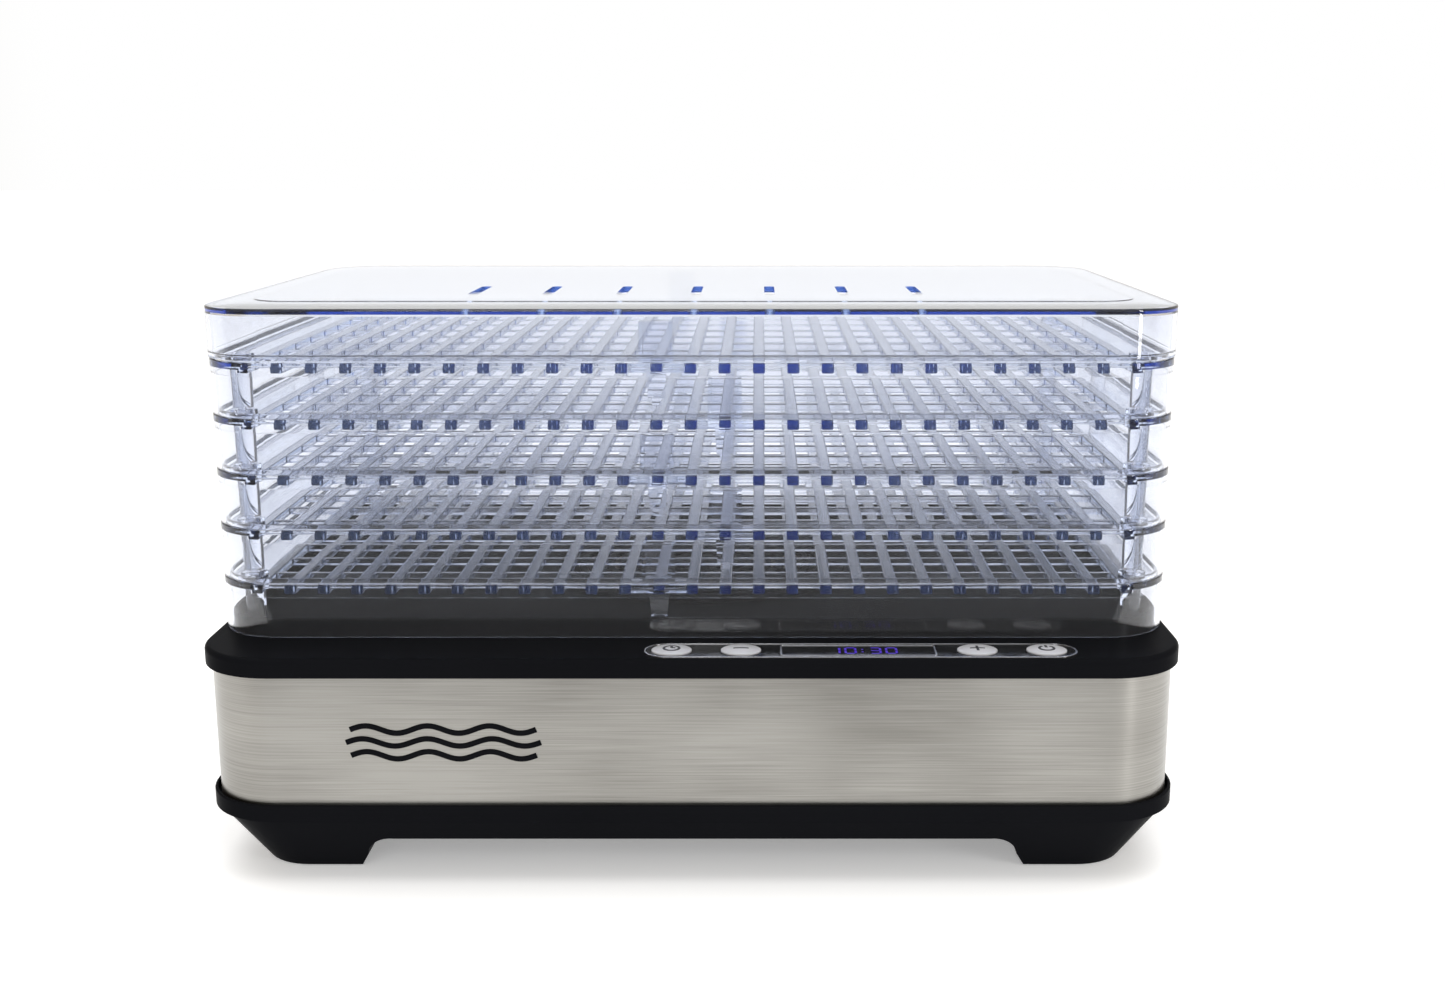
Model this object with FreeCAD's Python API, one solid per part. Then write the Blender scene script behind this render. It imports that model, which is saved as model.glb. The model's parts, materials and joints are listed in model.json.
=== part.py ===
import FreeCAD, Part
import math
import os

from FreeCAD import Vector as V

# Food dehydrator: a heated fan base, five stacking trays and a vented lid.
# Millimetres. +X is to the right of someone facing the control panel, +Y is
# away from them and +Z is up. The origin is the centre of the footprint.

# Footprints of the base, as width, depth and corner radius.
LIP = (441.6, 303.6, 35.8)
STEEL = (436.0, 298.0, 33.0)
RIM = (442.0, 304.0, 36.0)
SKIRT_TOP = (437.6, 299.6, 33.8)
FOOTPRINT_AT_FLOOR = (400.4, 263.0, 24.0)

# Heights of the base.
FLOOR_BOTTOM = 18.0
FLOOR_TOP = 20.6
LIP_BOTTOM = 30.0
LIP_SEAT = 33.6
LIP_TOP = 37.6
STEEL_TOP = 97.0
DECK_TOP = 105.5
DECK_BOTTOM = 102.5
COLLAR_SEAT = 104.5
COLLAR_TOP = 114.0
COLLAR_OUTER = 3.0
COLLAR_INNER = 5.4

# Wall thicknesses and running gaps.
WALL = 2.6
LIP_WALL = 1.3
SHEET = 0.6
DECK_LIP = 2.0
GAP = 0.3
SEAT_GAP = 0.05

# Trays and lid. Tray heights are measured from the middle of its bars.
TRAY = (438.0, 267.0, 30.0)
TRAY_Y = 14.0
TRAY_COUNT = 5
TRAY_PITCH = 25.1
SKIRT_BOTTOM = -22.3
BAND_BOTTOM = -3.4
BAND_TOP = 2.8
BAR_BOTTOM = -2.0
BAR_TOP = 2.2
MARGIN_BOTTOM = -0.6
RIB_TOP = 5.0
SKIRT_INSET = 0.4
SKIRT_INNER = 2.4
RIB_OUTER = 2.8
RIB_INNER = 4.2
LOWEST_BARS_Z = DECK_TOP - SKIRT_BOTTOM

BAR_PITCH = 15.15
BARS_EACH_SIDE = 13
BAR_WIDTH = 5.4
CROSS_PITCH = 27.0
CROSS_EACH_SIDE = 4
CROSS_WIDTH = 3.6

POST_X = 201.5
POST_Y = 117.8
POST_SIZE = (9.4, 7.2)
POST_BOTTOM = -18.9
POST_TIP_RADIUS = 2.5
POST_TIP_BOTTOM = -21.2
SOCKET_OUTER = (12.4, 10.4)
SOCKET_INNER_RADIUS = 3.2
SOCKET_TOP = 5.4

TAB_X = -BAR_PITCH
TAB_SIZE = (15.2, 8.0)
TAB_WALL = 1.7
TAB_TOP = 20.3
TAB_FLOOR = 4.5
PAD_WIDTH = 25.0
PEG_DEPTH = 4.0
PEG_BOTTOM = -17.0

LID = (439.0, 268.0, 30.5)
LID_TOP = 255.0
LID_EDGE_TOP = 254.7
LID_PLATE_BOTTOM = 252.0
LID_WALL = 2.0
LID_SEAT_HEIGHT = 3.0
LID_PANEL = (410.0, 199.0, 20.0)
SLOT_COUNT = 7
SLOT_PITCH = 35.4
SLOT_SIZE = (5.0, 44.7)
SLOT_Y = -27.45

# Control panel on the front ledge of the deck.
PANEL_Y = -138.9
PANEL_X = 75.25
PANEL_SIZE = (191.7, 20.2)
TRIM_WIDTH = 0.8
PANEL_SEAT = 103.7
FASCIA_TOP = 105.7
TRIM_TOP = 106.0
WINDOW_X = 74.2
WINDOW_SIZE = (69.0, 15.4)
WINDOW_FRAME = 0.8
BUTTON_Y = -138.6
BUTTON_SIZE = (17.8, 15.0)
BUTTON_FLANGE = (20.6, 14.4)
BUTTON_TRAVEL = 0.8
BUTTON_TOP = 106.9
BUTTONS = {
    "button_mode": -8.4,
    "button_minus": 22.35,
    "button_plus": 127.0,
    "button_power": 157.7,
}
CONTROL_BOARD = (-20.0, 170.0, -145.5, -121.0)
CONTROL_BOARD_Z = 92.0
BOARD_THICK = 1.6
CONTROL_SCREWS = ((7.0, -125.0), (74.2, -125.0), (142.0, -125.0))

# Air path: everything turns or stands about one vertical axis.
AXIS_X = 0.0
AXIS_Y = 14.0
INTAKE_RADIUS = 62.0
OUTLET_RADIUS = 73.0
DUCT_INNER = 74.4
DUCT_OUTER = 76.0
DUCT_TOP = 98.0
CORE_BOTTOM = 40.0
CORE_TOP = 58.0
STATOR_BORE = 13.4
ROTOR_RADIUS = 13.0
SHAFT_RADIUS = 2.0
BUSH_BORE = 2.06
LOWER_STRAP_Z = 33.0
UPPER_STRAP_Z = 63.5
STRAP_THICK = 1.5
FAN_Z = 79.0
FAN_RADIUS = 68.0
BLADE_COUNT = 5
HEATER_BOTTOM = 90.0
HEATER_TOP = 99.0
HEATER_COIL_Z = 95.5
HEATER_COIL_RADII = (34.0, 56.0)
HEATER_WIRE_COIL = 2.5

HOUSING_SCREWS = (
    (-190.0, -70.0), (190.0, -70.0), (-190.0, 80.0),
    (190.0, 80.0), (-60.0, -112.0), (0.0, 132.0),
)
POWER_BOARD = (112.0, 202.0, -62.0, -6.0)
POWER_BOARD_Z = 30.0
GLAND_X = 150.0
GLAND_Z = 58.0
GLAND_BORE = 3.5
FOOT_PAD_AT = (176.0, 111.0)
FOOT_PAD_RADIUS = 11.0
FOOT_BASE = 0.8

os.makedirs("parts", exist_ok=True)


def export(name, shape):
    """Write one piece and say how it came out."""
    state = "ok" if shape.isValid() else "NOT VALID"
    print(f"{name:22s} {len(shape.Solids)} solids {shape.Volume / 1000:9.3f} cm3 {state}")
    shape.exportStep(f"parts/{name}.step")


def outline(size, z, centre=(0.0, 0.0), inset=0.0):
    """Closed rounded rectangle, starting on the front run."""
    width, depth, radius = size
    half_w = width / 2 - inset
    half_d = depth / 2 - inset
    r = max(radius - inset, 0.5)
    cx, cy = centre
    corners = ((1, -1, 270), (1, 1, 0), (-1, 1, 90), (-1, -1, 180))
    edges = []
    ends = []
    for sx, sy, start in corners:
        middle = V(cx + sx * (half_w - r), cy + sy * (half_d - r), z)
        arc = []
        for angle in (start, start + 45, start + 90):
            a = math.radians(angle)
            arc.append(middle + V(r * math.cos(a), r * math.sin(a), 0))
        ends.append(arc)
    for i, arc in enumerate(ends):
        edges.append(Part.makeLine(ends[i - 1][2], arc[0]))
        edges.append(Part.Arc(*arc).toShape())
    return Part.Wire(edges)


def prism(size, z0, z1, centre=(0.0, 0.0), inset=0.0):
    face = Part.Face(outline(size, z0, centre, inset))
    return face.extrude(V(0, 0, z1 - z0))


def frame_ring(size, z0, z1, outer_inset, inner_inset, centre=(0.0, 0.0)):
    outer = prism(size, z0, z1, centre, outer_inset)
    return outer.cut(prism(size, z0 - 1, z1 + 1, centre, inner_inset))


def taper(size0, z0, size1, z1, centre=(0.0, 0.0)):
    wires = [outline(size0, z0, centre), outline(size1, z1, centre)]
    return Part.makeLoft(wires, True, True)


def box(x0, x1, y0, y1, z0, z1):
    return Part.makeBox(x1 - x0, y1 - y0, z1 - z0, V(x0, y0, z0))


def rod(x, y, z0, z1, radius):
    return Part.makeCylinder(radius, z1 - z0, V(x, y, z0), V(0, 0, 1))


def tube(x, y, z0, z1, outer, inner):
    return rod(x, y, z0, z1, outer).cut(rod(x, y, z0 - 1, z1 + 1, inner))


def rod_along(start, direction, length, radius):
    return Part.makeCylinder(radius, length, start, direction)


def oval(size, z0, z1, centre):
    """Upright elliptical prism of a width and a depth."""
    width, depth = size
    curve = Part.Ellipse(V(centre[0], centre[1], z0), width / 2, depth / 2)
    return Part.Face(Part.Wire(curve.toShape())).extrude(V(0, 0, z1 - z0))


def stadium(size, z0, z1, centre, inset=0.0):
    width, depth = size
    return prism((width, depth, depth / 2 - 0.01), z0, z1, centre, inset)


def fuse(shapes):
    return shapes[0].multiFuse(shapes[1:]).removeSplitter()


def four_ways(x, y, cy=0.0):
    return [(sx * x, cy + sy * y) for sx in (-1, 1) for sy in (-1, 1)]


def floor_outline(z, inset=0.0):
    """Size of the sloping skirt at a height under the lip."""
    t = z / LIP_BOTTOM
    size = [a + (b - a) * t for a, b in zip(FOOTPRINT_AT_FLOOR, SKIRT_TOP)]
    return (size[0] - 2 * inset, size[1] - 2 * inset, size[2] - inset)


# ---- Base pan: lip, sloping skirt, floor and four hollow feet ----

FOOT_INNER = (152.0, 95.0)
FOOT_SHOULDER = 4.0
FOOT_SHOULDER_Z = 8.0
FOOT_SWEEP = 17.0


def arch_profile(foot_inner):
    """Half-arch between two feet: up the foot, then a swept curve to the floor."""
    low = foot_inner
    side = foot_inner - FOOT_SHOULDER
    top = foot_inner - FOOT_SWEEP
    rise = FLOOR_BOTTOM - FOOT_SHOULDER_Z
    bend = (side - 0.29 * (side - top), FOOT_SHOULDER_Z + 0.71 * rise)
    return low, side, top, bend


def arch_cutter(foot_inner, place):
    """Closed profile of the space between two feet; place maps it to 3-D."""
    low, side, top, bend = arch_profile(foot_inner)
    left = [(-low, -1.0), (-low, FOOT_BASE), (-side, FOOT_SHOULDER_Z)]
    right = [(side, FOOT_SHOULDER_Z), (low, FOOT_BASE), (low, -1.0)]
    edges = [Part.makeLine(place(*a), place(*b)) for a, b in zip(left, left[1:])]
    edges.append(Part.Arc(place(-side, FOOT_SHOULDER_Z), place(-bend[0], bend[1]),
                          place(-top, FLOOR_BOTTOM)).toShape())
    edges.append(Part.makeLine(place(-top, FLOOR_BOTTOM), place(top, FLOOR_BOTTOM)))
    edges.append(Part.Arc(place(top, FLOOR_BOTTOM), place(bend[0], bend[1]),
                          place(side, FOOT_SHOULDER_Z)).toShape())
    edges += [Part.makeLine(place(*a), place(*b)) for a, b in zip(right, right[1:])]
    edges.append(Part.makeLine(place(low, -1.0), place(-low, -1.0)))
    return Part.Face(Part.Wire(edges))


def make_base_pan():
    skirt = taper(floor_outline(FOOT_BASE), FOOT_BASE, SKIRT_TOP, LIP_BOTTOM)
    lip = prism(LIP, LIP_BOTTOM, LIP_TOP)
    lip_edges = [e for e in lip.Edges
                 if abs(e.BoundBox.ZMin - LIP_TOP) < 1e-6]
    lip = lip.makeFillet(0.8, lip_edges)
    lip = lip.cut(prism(LIP, LIP_SEAT, LIP_TOP + 1, inset=LIP_WALL))
    body = skirt.fuse(lip)
    across = arch_cutter(FOOT_INNER[0], lambda u, z: V(u, -200, z)).extrude(V(0, 400, 0))
    along = arch_cutter(FOOT_INNER[1], lambda u, z: V(-250, u, z)).extrude(V(500, 0, 0))
    body = body.cut(across).cut(along)
    ledge = 2.5
    cavity = taper(floor_outline(FLOOR_TOP, WALL), FLOOR_TOP,
                   floor_outline(LIP_BOTTOM, WALL), LIP_BOTTOM)
    cavity = cavity.fuse(prism(SKIRT_TOP, LIP_BOTTOM, LIP_SEAT - ledge, inset=WALL))
    mouth_inset = SHEET + DECK_LIP + GAP + 2.0
    cavity = cavity.fuse(prism(STEEL, LIP_SEAT - ledge - 1, LIP_SEAT + 1, inset=mouth_inset))
    body = body.cut(cavity)
    pockets = []
    for x, y in four_ways(FOOT_PAD_AT[0], FOOT_PAD_AT[1]):
        top = (x + math.copysign(3.5, x), y + math.copysign(4.0, y))
        low_wire = outline((30.0, 20.0, 6.0), FOOT_BASE + WALL, (x, y))
        high_wire = outline((56.0, 46.0, 20.0), FLOOR_TOP + 0.5, top)
        pockets.append(Part.makeLoft([low_wire, high_wire], True, True))
    body = body.cut(pockets)
    flange = frame_ring(STEEL, LIP_SEAT - ledge, LIP_SEAT + 8, SHEET + GAP,
                        SHEET + GAP + DECK_LIP)
    bosses = [flange]
    holes = []
    for x, y in HOUSING_SCREWS:
        bosses.append(rod(x, y, FLOOR_TOP, FLOOR_TOP + 4, 7.0))
        holes.append(rod(x, y, FLOOR_BOTTOM - 1, FLOOR_BOTTOM + 4, 4.2))
        holes.append(rod(x, y, FLOOR_BOTTOM, FLOOR_TOP + 5, 2.2))
    for x, y in duct_ears():
        bosses.append(rod(x, y, FLOOR_TOP, FLOOR_TOP + 6, 4.0))
        holes.append(rod(x, y, FLOOR_TOP - 1, FLOOR_TOP + 7, 1.5))
    for x, y in power_board_corners():
        bosses.append(rod(x, y, FLOOR_TOP, POWER_BOARD_Z, 4.0))
        holes.append(rod(x, y, FLOOR_TOP, POWER_BOARD_Z + 1, 1.5))
    for x, y in four_ways(*FOOT_PAD_AT):
        holes.append(rod(x, y, FOOT_BASE - 1, FOOT_BASE + 1, FOOT_PAD_RADIUS + SEAT_GAP))
    holes.append(rod(AXIS_X, AXIS_Y, FLOOR_BOTTOM - 1, FLOOR_TOP + 1, INTAKE_RADIUS))
    return body.multiFuse(bosses).cut(holes).removeSplitter()


def duct_ears():
    reach = 84.0
    places = []
    for angle in (0, 90, 180, 270):
        a = math.radians(angle + 22)
        places.append((AXIS_X + reach * math.cos(a), AXIS_Y + reach * math.sin(a)))
    return places


def power_board_corners():
    x0, x1, y0, y1 = POWER_BOARD
    edge = 6.0
    return [(x, y) for x in (x0 + edge, x1 - edge) for y in (y0 + edge, y1 - edge)]


def make_foot_pad(x, y):
    return rod(x, y, 0.0, FOOT_BASE + 1.0, FOOT_PAD_RADIUS)


# ---- Steel band: bent sheet that meets in a seam at the back ----

def make_steel_band():
    band = frame_ring(STEEL, LIP_SEAT, STEEL_TOP, 0.0, SHEET)
    seam = box(-0.3, 0.3, STEEL[1] / 2 - 5, STEEL[1] / 2 + 5, LIP_SEAT - 1, STEEL_TOP + 1)
    hole = rod_along(V(GLAND_X, STEEL[1] / 2 - 5, GLAND_Z), V(0, 1, 0), 10, 8.0 + SEAT_GAP)
    return band.cut([seam, hole])


# ---- Top deck: rim, tray collar, panel seat and screw bosses ----

def make_top_deck():
    plate = prism(RIM, STEEL_TOP, DECK_TOP)
    top_edges = [e for e in plate.Edges
                 if abs(e.BoundBox.ZMin - DECK_TOP) < 1e-6]
    plate = plate.makeFillet(2.4, top_edges)
    under = prism(STEEL, STEEL_TOP - 1, DECK_BOTTOM, inset=SHEET + GAP + DECK_LIP)
    plate = plate.cut(under)
    adds = [frame_ring(STEEL, STEEL_TOP - 6, STEEL_TOP, SHEET + GAP, SHEET + GAP + DECK_LIP)]
    cuts = [frame_ring(TRAY, COLLAR_SEAT, DECK_TOP + 1, COLLAR_OUTER - SEAT_GAP,
                       COLLAR_INNER + SEAT_GAP, (0, TRAY_Y))]
    for x, y in HOUSING_SCREWS:
        adds.append(rod(x, y, FLOOR_TOP + 4, DECK_BOTTOM + 1, 4.5))
        cuts.append(rod(x, y, FLOOR_TOP, FLOOR_TOP + 22, 1.95))
    for x, y in CONTROL_SCREWS:
        adds.append(rod(x, y, CONTROL_BOARD_Z + BOARD_THICK, DECK_BOTTOM + 1, 3.0))
        cuts.append(rod(x, y, CONTROL_BOARD_Z, CONTROL_BOARD_Z + 9, 1.3))
    cuts.append(stadium(PANEL_SIZE, PANEL_SEAT, DECK_TOP + 1, (PANEL_X, PANEL_Y), -SEAT_GAP))
    cuts.append(prism((62.0, 12.0, 1.0), DECK_BOTTOM - 1, PANEL_SEAT + 1, (WINDOW_X, PANEL_Y)))
    for x in BUTTONS.values():
        cuts.append(oval(grown(BUTTON_SIZE, GAP), DECK_BOTTOM - 1, PANEL_SEAT + 1,
                         (x, BUTTON_Y)))
    cuts.append(rod(AXIS_X, AXIS_Y, DECK_BOTTOM - 1, DECK_TOP + 1, OUTLET_RADIUS))
    return plate.multiFuse(adds).cut(cuts).removeSplitter()


def make_deck_collar():
    """Thin ring wall standing in a groove of the deck, inside the lowest tray's skirt."""
    return frame_ring(TRAY, COLLAR_SEAT, COLLAR_TOP, COLLAR_OUTER, COLLAR_INNER, (0, TRAY_Y))


def grown(size, gap):
    return (size[0] + 2 * gap, size[1] + 2 * gap)


# ---- Grilles: concentric rings joined by spokes ----

def make_grille(radius, z0, z1, hub, spigot, spigot_z):
    slot = 3.4
    web = 3.6
    disc = rod(AXIS_X, AXIS_Y, z0, z1, radius)
    cuts = []
    r = hub
    while r + slot < spigot - 2.2:
        cuts.append(tube(AXIS_X, AXIS_Y, z0 - 1, z1 + 1, r + slot, r))
        r += slot + web
    disc = disc.cut(cuts)
    parts = [disc]
    for i in range(8):
        spoke = box(AXIS_X + hub - 1, AXIS_X + spigot - 1, AXIS_Y - 1.6, AXIS_Y + 1.6, z0, z1)
        spoke.rotate(V(AXIS_X, AXIS_Y, 0), V(0, 0, 1), 22.5 + 45 * i)
        parts.append(spoke)
    parts.append(tube(AXIS_X, AXIS_Y, *spigot_z, spigot - SEAT_GAP, spigot - 2.0))
    return fuse(parts)


def make_outlet_grille():
    grille = make_grille(OUTLET_RADIUS + 3, DECK_TOP, DECK_TOP + 2.2, 16.0,
                         OUTLET_RADIUS, (DECK_BOTTOM - 2, DECK_TOP + 1))
    cap = Part.makeSphere(30.0, V(AXIS_X, AXIS_Y, DECK_TOP + 4.0 - 30.0))
    cap = cap.common(rod(AXIS_X, AXIS_Y, DECK_TOP + 1, DECK_TOP + 6, 16.0))
    return fuse([grille, cap])


def make_intake_grille():
    return make_grille(INTAKE_RADIUS + 4, FLOOR_TOP, FLOOR_TOP + 1.8, 14.0,
                       INTAKE_RADIUS, (FLOOR_BOTTOM + 0.4, FLOOR_TOP + 1))


# ---- Control panel ----

def make_control_fascia():
    inset = TRIM_WIDTH + SEAT_GAP
    plate = stadium(PANEL_SIZE, PANEL_SEAT, FASCIA_TOP, (PANEL_X, PANEL_Y), inset)
    cuts = [prism((*grown(WINDOW_SIZE, SEAT_GAP), 1.5), PANEL_SEAT - 1, FASCIA_TOP + 1,
                  (WINDOW_X, PANEL_Y))]
    for x in BUTTONS.values():
        cuts.append(oval(grown(BUTTON_SIZE, GAP), PANEL_SEAT - 1, FASCIA_TOP + 1, (x, BUTTON_Y)))
    return plate.cut(cuts)


def make_fascia_trim():
    centre = (PANEL_X, PANEL_Y)
    ring = stadium(PANEL_SIZE, PANEL_SEAT, TRIM_TOP, centre)
    return ring.cut(stadium(PANEL_SIZE, PANEL_SEAT - 1, TRIM_TOP + 1, centre, TRIM_WIDTH))


def make_display_frame():
    size = (*WINDOW_SIZE, 1.5)
    return frame_ring(size, PANEL_SEAT, TRIM_TOP, 0.0, WINDOW_FRAME, (WINDOW_X, PANEL_Y))


def make_display_window():
    size = (*WINDOW_SIZE, 1.5)
    return prism(size, PANEL_SEAT, FASCIA_TOP, (WINDOW_X, PANEL_Y), WINDOW_FRAME + SEAT_GAP)


def make_display_module():
    top = CONTROL_BOARD_Z + BOARD_THICK
    return box(WINDOW_X - 30, WINDOW_X + 30, PANEL_Y - 6.4, PANEL_Y + 6.4, top, DECK_BOTTOM - 0.4)


def make_button(x):
    centre = (x, BUTTON_Y)
    flange_bottom = 100.6
    cap = oval(BUTTON_SIZE, flange_bottom, BUTTON_TOP, centre)
    crown = Part.makeSphere(46.0, V(x, BUTTON_Y, BUTTON_TOP - 46.0))
    cap = cap.common(crown)
    flange = oval(BUTTON_FLANGE, flange_bottom, DECK_BOTTOM - GAP, centre)
    stem = rod(x, BUTTON_Y, switch_top() + BUTTON_TRAVEL + 0.1, flange_bottom + 1, 2.2)
    return fuse([cap, flange, stem])


def switch_top():
    return CONTROL_BOARD_Z + BOARD_THICK + 4.4


def make_tact_switches():
    base = CONTROL_BOARD_Z + BOARD_THICK
    switches = []
    for x in BUTTONS.values():
        body = box(x - 3, x + 3, BUTTON_Y - 3, BUTTON_Y + 3, base, base + 3.4)
        plunger = rod(x, BUTTON_Y, base + 3, switch_top(), 1.7)
        switches.append(body.fuse(plunger))
    return Part.makeCompound(switches)


def make_control_board():
    x0, x1, y0, y1 = CONTROL_BOARD
    board = box(x0, x1, y0, y1, CONTROL_BOARD_Z, CONTROL_BOARD_Z + BOARD_THICK)
    holes = [rod(x, y, CONTROL_BOARD_Z - 1, CONTROL_BOARD_Z + 3, 1.6) for x, y in CONTROL_SCREWS]
    return board.cut(holes)


# ---- Power board and what stands on it ----

def make_power_board():
    x0, x1, y0, y1 = POWER_BOARD
    board = box(x0, x1, y0, y1, POWER_BOARD_Z, POWER_BOARD_Z + BOARD_THICK)
    holes = [rod(x, y, POWER_BOARD_Z - 1, POWER_BOARD_Z + 3, 1.6)
             for x, y in power_board_corners()]
    return board.cut(holes)


BOARD_TOP = POWER_BOARD_Z + BOARD_THICK


def make_relay():
    return box(122, 142, -49, -33, BOARD_TOP, BOARD_TOP + 17)


def make_transformer():
    core = box(152, 184, -50, -22, BOARD_TOP, BOARD_TOP + 24)
    winding = box(156, 180, -54, -18, BOARD_TOP + 4, BOARD_TOP + 20)
    return fuse([core, winding])


def make_capacitors():
    places = ((193, -24, 6.0, 20.0), (193, -38, 5.0, 14.0), (147, -27, 4.0, 11.0))
    return Part.makeCompound([rod(x, y, BOARD_TOP, BOARD_TOP + h, r) for x, y, r, h in places])


TERMINALS_X = (132.0, 168.0)
TERMINALS_BACK = -8.0


def make_terminal_block():
    x0, x1 = TERMINALS_X
    block = box(x0, x1, -17, TERMINALS_BACK, BOARD_TOP, BOARD_TOP + 13)
    ways = [rod((x0 + 6 + 8 * i), -12.5, BOARD_TOP + 8, BOARD_TOP + 14, 2.4) for i in range(4)]
    return block.cut(ways)


# ---- Motor, fan and duct ----

def make_motor_core():
    half = 29.0
    arm = 15.0
    body = box(AXIS_X - half, AXIS_X + half, AXIS_Y - 22, AXIS_Y + 54, CORE_BOTTOM, CORE_TOP)
    window = box(AXIS_X - arm, AXIS_X + arm, AXIS_Y + 22, AXIS_Y + 40,
                 CORE_BOTTOM - 1, CORE_TOP + 1)
    cuts = [window, rod(AXIS_X, AXIS_Y, CORE_BOTTOM - 1, CORE_TOP + 1, STATOR_BORE)]
    for x in (-22, 22):
        cuts.append(rod(AXIS_X + x, AXIS_Y, CORE_BOTTOM - 1, CORE_TOP + 1, 1.8))
    return body.cut(cuts)


def make_motor_coil():
    coil = prism((29.0, 44.0, 5.0), 31.0, 67.0, (AXIS_X, AXIS_Y + 47))
    leg = box(AXIS_X - 20, AXIS_X + 20, AXIS_Y + 40, AXIS_Y + 54, CORE_BOTTOM, CORE_TOP)
    return coil.cut(leg)


def make_strap(length, z, post_z, bush_z):
    """Flat steel strap with a bearing cup and two posts to the core."""
    strap = prism((length, 18.0, 4.0), z, z + STRAP_THICK, (AXIS_X, AXIS_Y))
    parts = [strap, rod(AXIS_X, AXIS_Y, *bush_z, 7.0)]
    cuts = [rod(AXIS_X, AXIS_Y, bush_z[0] - 5, bush_z[1] + 5, 4.0)]
    for x in (-22, 22):
        parts.append(rod(AXIS_X + x, AXIS_Y, *post_z, 3.6))
        cuts.append(rod(AXIS_X + x, AXIS_Y, post_z[0] - 5, post_z[1] + 5, 1.8))
    if length > 100:
        for x in (-68, 68):
            cuts.append(rod(AXIS_X + x, AXIS_Y, z - 1, z + 3, 1.8))
    return fuse(parts).cut(cuts)


LOWER_BUSH = (LOWER_STRAP_Z, 38.0)
UPPER_BUSH = (60.0, UPPER_STRAP_Z + STRAP_THICK)


def make_motor_bracket_lower():
    return make_strap(142.0, LOWER_STRAP_Z, (LOWER_STRAP_Z, CORE_BOTTOM), LOWER_BUSH)


def make_motor_bracket_upper():
    return make_strap(58.0, UPPER_STRAP_Z, (CORE_TOP, UPPER_STRAP_Z + 1), UPPER_BUSH)


def make_motor_bearings():
    bushes = [tube(AXIS_X, AXIS_Y, *span, 4.0 - SEAT_GAP / 5, BUSH_BORE)
              for span in (LOWER_BUSH, UPPER_BUSH)]
    return Part.makeCompound(bushes)


def make_motor_rotor():
    return tube(AXIS_X, AXIS_Y, CORE_BOTTOM, CORE_TOP, ROTOR_RADIUS, SHAFT_RADIUS)


def make_motor_shaft():
    return rod(AXIS_X, AXIS_Y, 31.0, 88.0, SHAFT_RADIUS)


def blade_section(radius, chord, pitch, thick=1.8):
    a = math.radians(pitch)
    along = V(0, math.cos(a), math.sin(a))
    across = V(0, -math.sin(a), math.cos(a))
    middle = V(AXIS_X + radius, AXIS_Y, FAN_Z)
    corners = []
    for u, v in ((-1, -1), (1, -1), (1, 1), (-1, 1)):
        corners.append(middle + along * (u * chord / 2) + across * (v * thick / 2))
    return Part.makePolygon(corners + corners[:1])


def make_fan_blades():
    sections = [blade_section(11.0, 20.0, 42), blade_section(38.0, 34.0, 29),
                blade_section(FAN_RADIUS, 38.0, 21)]
    blade = Part.makeLoft(sections, True, True)
    parts = [rod(AXIS_X, AXIS_Y, FAN_Z - 8, FAN_Z + 7, 14.0)]
    for i in range(BLADE_COUNT):
        copy = blade.copy()
        copy.rotate(V(AXIS_X, AXIS_Y, 0), V(0, 0, 1), 360.0 / BLADE_COUNT * i)
        parts.append(copy)
    return fuse(parts).cut(rod(AXIS_X, AXIS_Y, FAN_Z - 20, FAN_Z + 20, SHAFT_RADIUS))


LEDGE_TOP = LOWER_STRAP_Z
MOTOR_LEAD_Z = 46.0
SENSOR_Z = 94.0
HEATER_LEAD_Y = -10.0
HEATER_LEAD_Z = 94.0


def make_fan_duct():
    parts = [tube(AXIS_X, AXIS_Y, FLOOR_TOP, DUCT_TOP, DUCT_OUTER, DUCT_INNER)]
    inside = rod(AXIS_X, AXIS_Y, 0, DUCT_TOP, DUCT_INNER + 0.8)
    for x in (-68.0, 68.0):
        ledge = box(x - 7, x + 7, AXIS_Y - 8, AXIS_Y + 8, LEDGE_TOP - 5, LEDGE_TOP)
        parts.append(ledge.common(inside))
    outside = tube(AXIS_X, AXIS_Y, 0, DUCT_TOP, 100, DUCT_INNER + 0.8)
    cuts = []
    for x, y in duct_ears():
        ear = rod(x, y, FLOOR_TOP + 6, FLOOR_TOP + 8, 5.0)
        arm = box(0, math.hypot(x - AXIS_X, y - AXIS_Y), -5, 5, FLOOR_TOP + 6, FLOOR_TOP + 8)
        arm.rotate(V(0, 0, 0), V(0, 0, 1), math.degrees(math.atan2(y - AXIS_Y, x - AXIS_X)))
        arm.translate(V(AXIS_X, AXIS_Y, 0))
        parts += [ear, arm.common(outside)]
        cuts.append(rod(x, y, FLOOR_TOP, FLOOR_TOP + 10, 1.7))
    for angle in (45, 135):
        slot = box(-90, 90, -0.7, 0.7, HEATER_BOTTOM, DUCT_TOP + 1)
        slot.rotate(V(0, 0, 0), V(0, 0, 1), angle)
        slot.translate(V(AXIS_X, AXIS_Y, 0))
        cuts.append(slot)
    cuts.append(rod_along(V(AXIS_X + 60, AXIS_Y, SENSOR_Z), V(1, 0, 0), 30, 2.4))
    cuts.append(rod_along(V(30, AXIS_Y + 60, MOTOR_LEAD_Z), V(1, 0, 0), 40, 3.0))
    cuts.append(rod_along(V(60, HEATER_LEAD_Y, HEATER_LEAD_Z), V(1, 0, 0), 30, 2.6))
    for x in (-68.0, 68.0):
        cuts.append(rod(AXIS_X + x, AXIS_Y, LEDGE_TOP - 6, LEDGE_TOP + 1, 1.5))
    return fuse(parts).cut(cuts)


# ---- Heater ----

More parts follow.
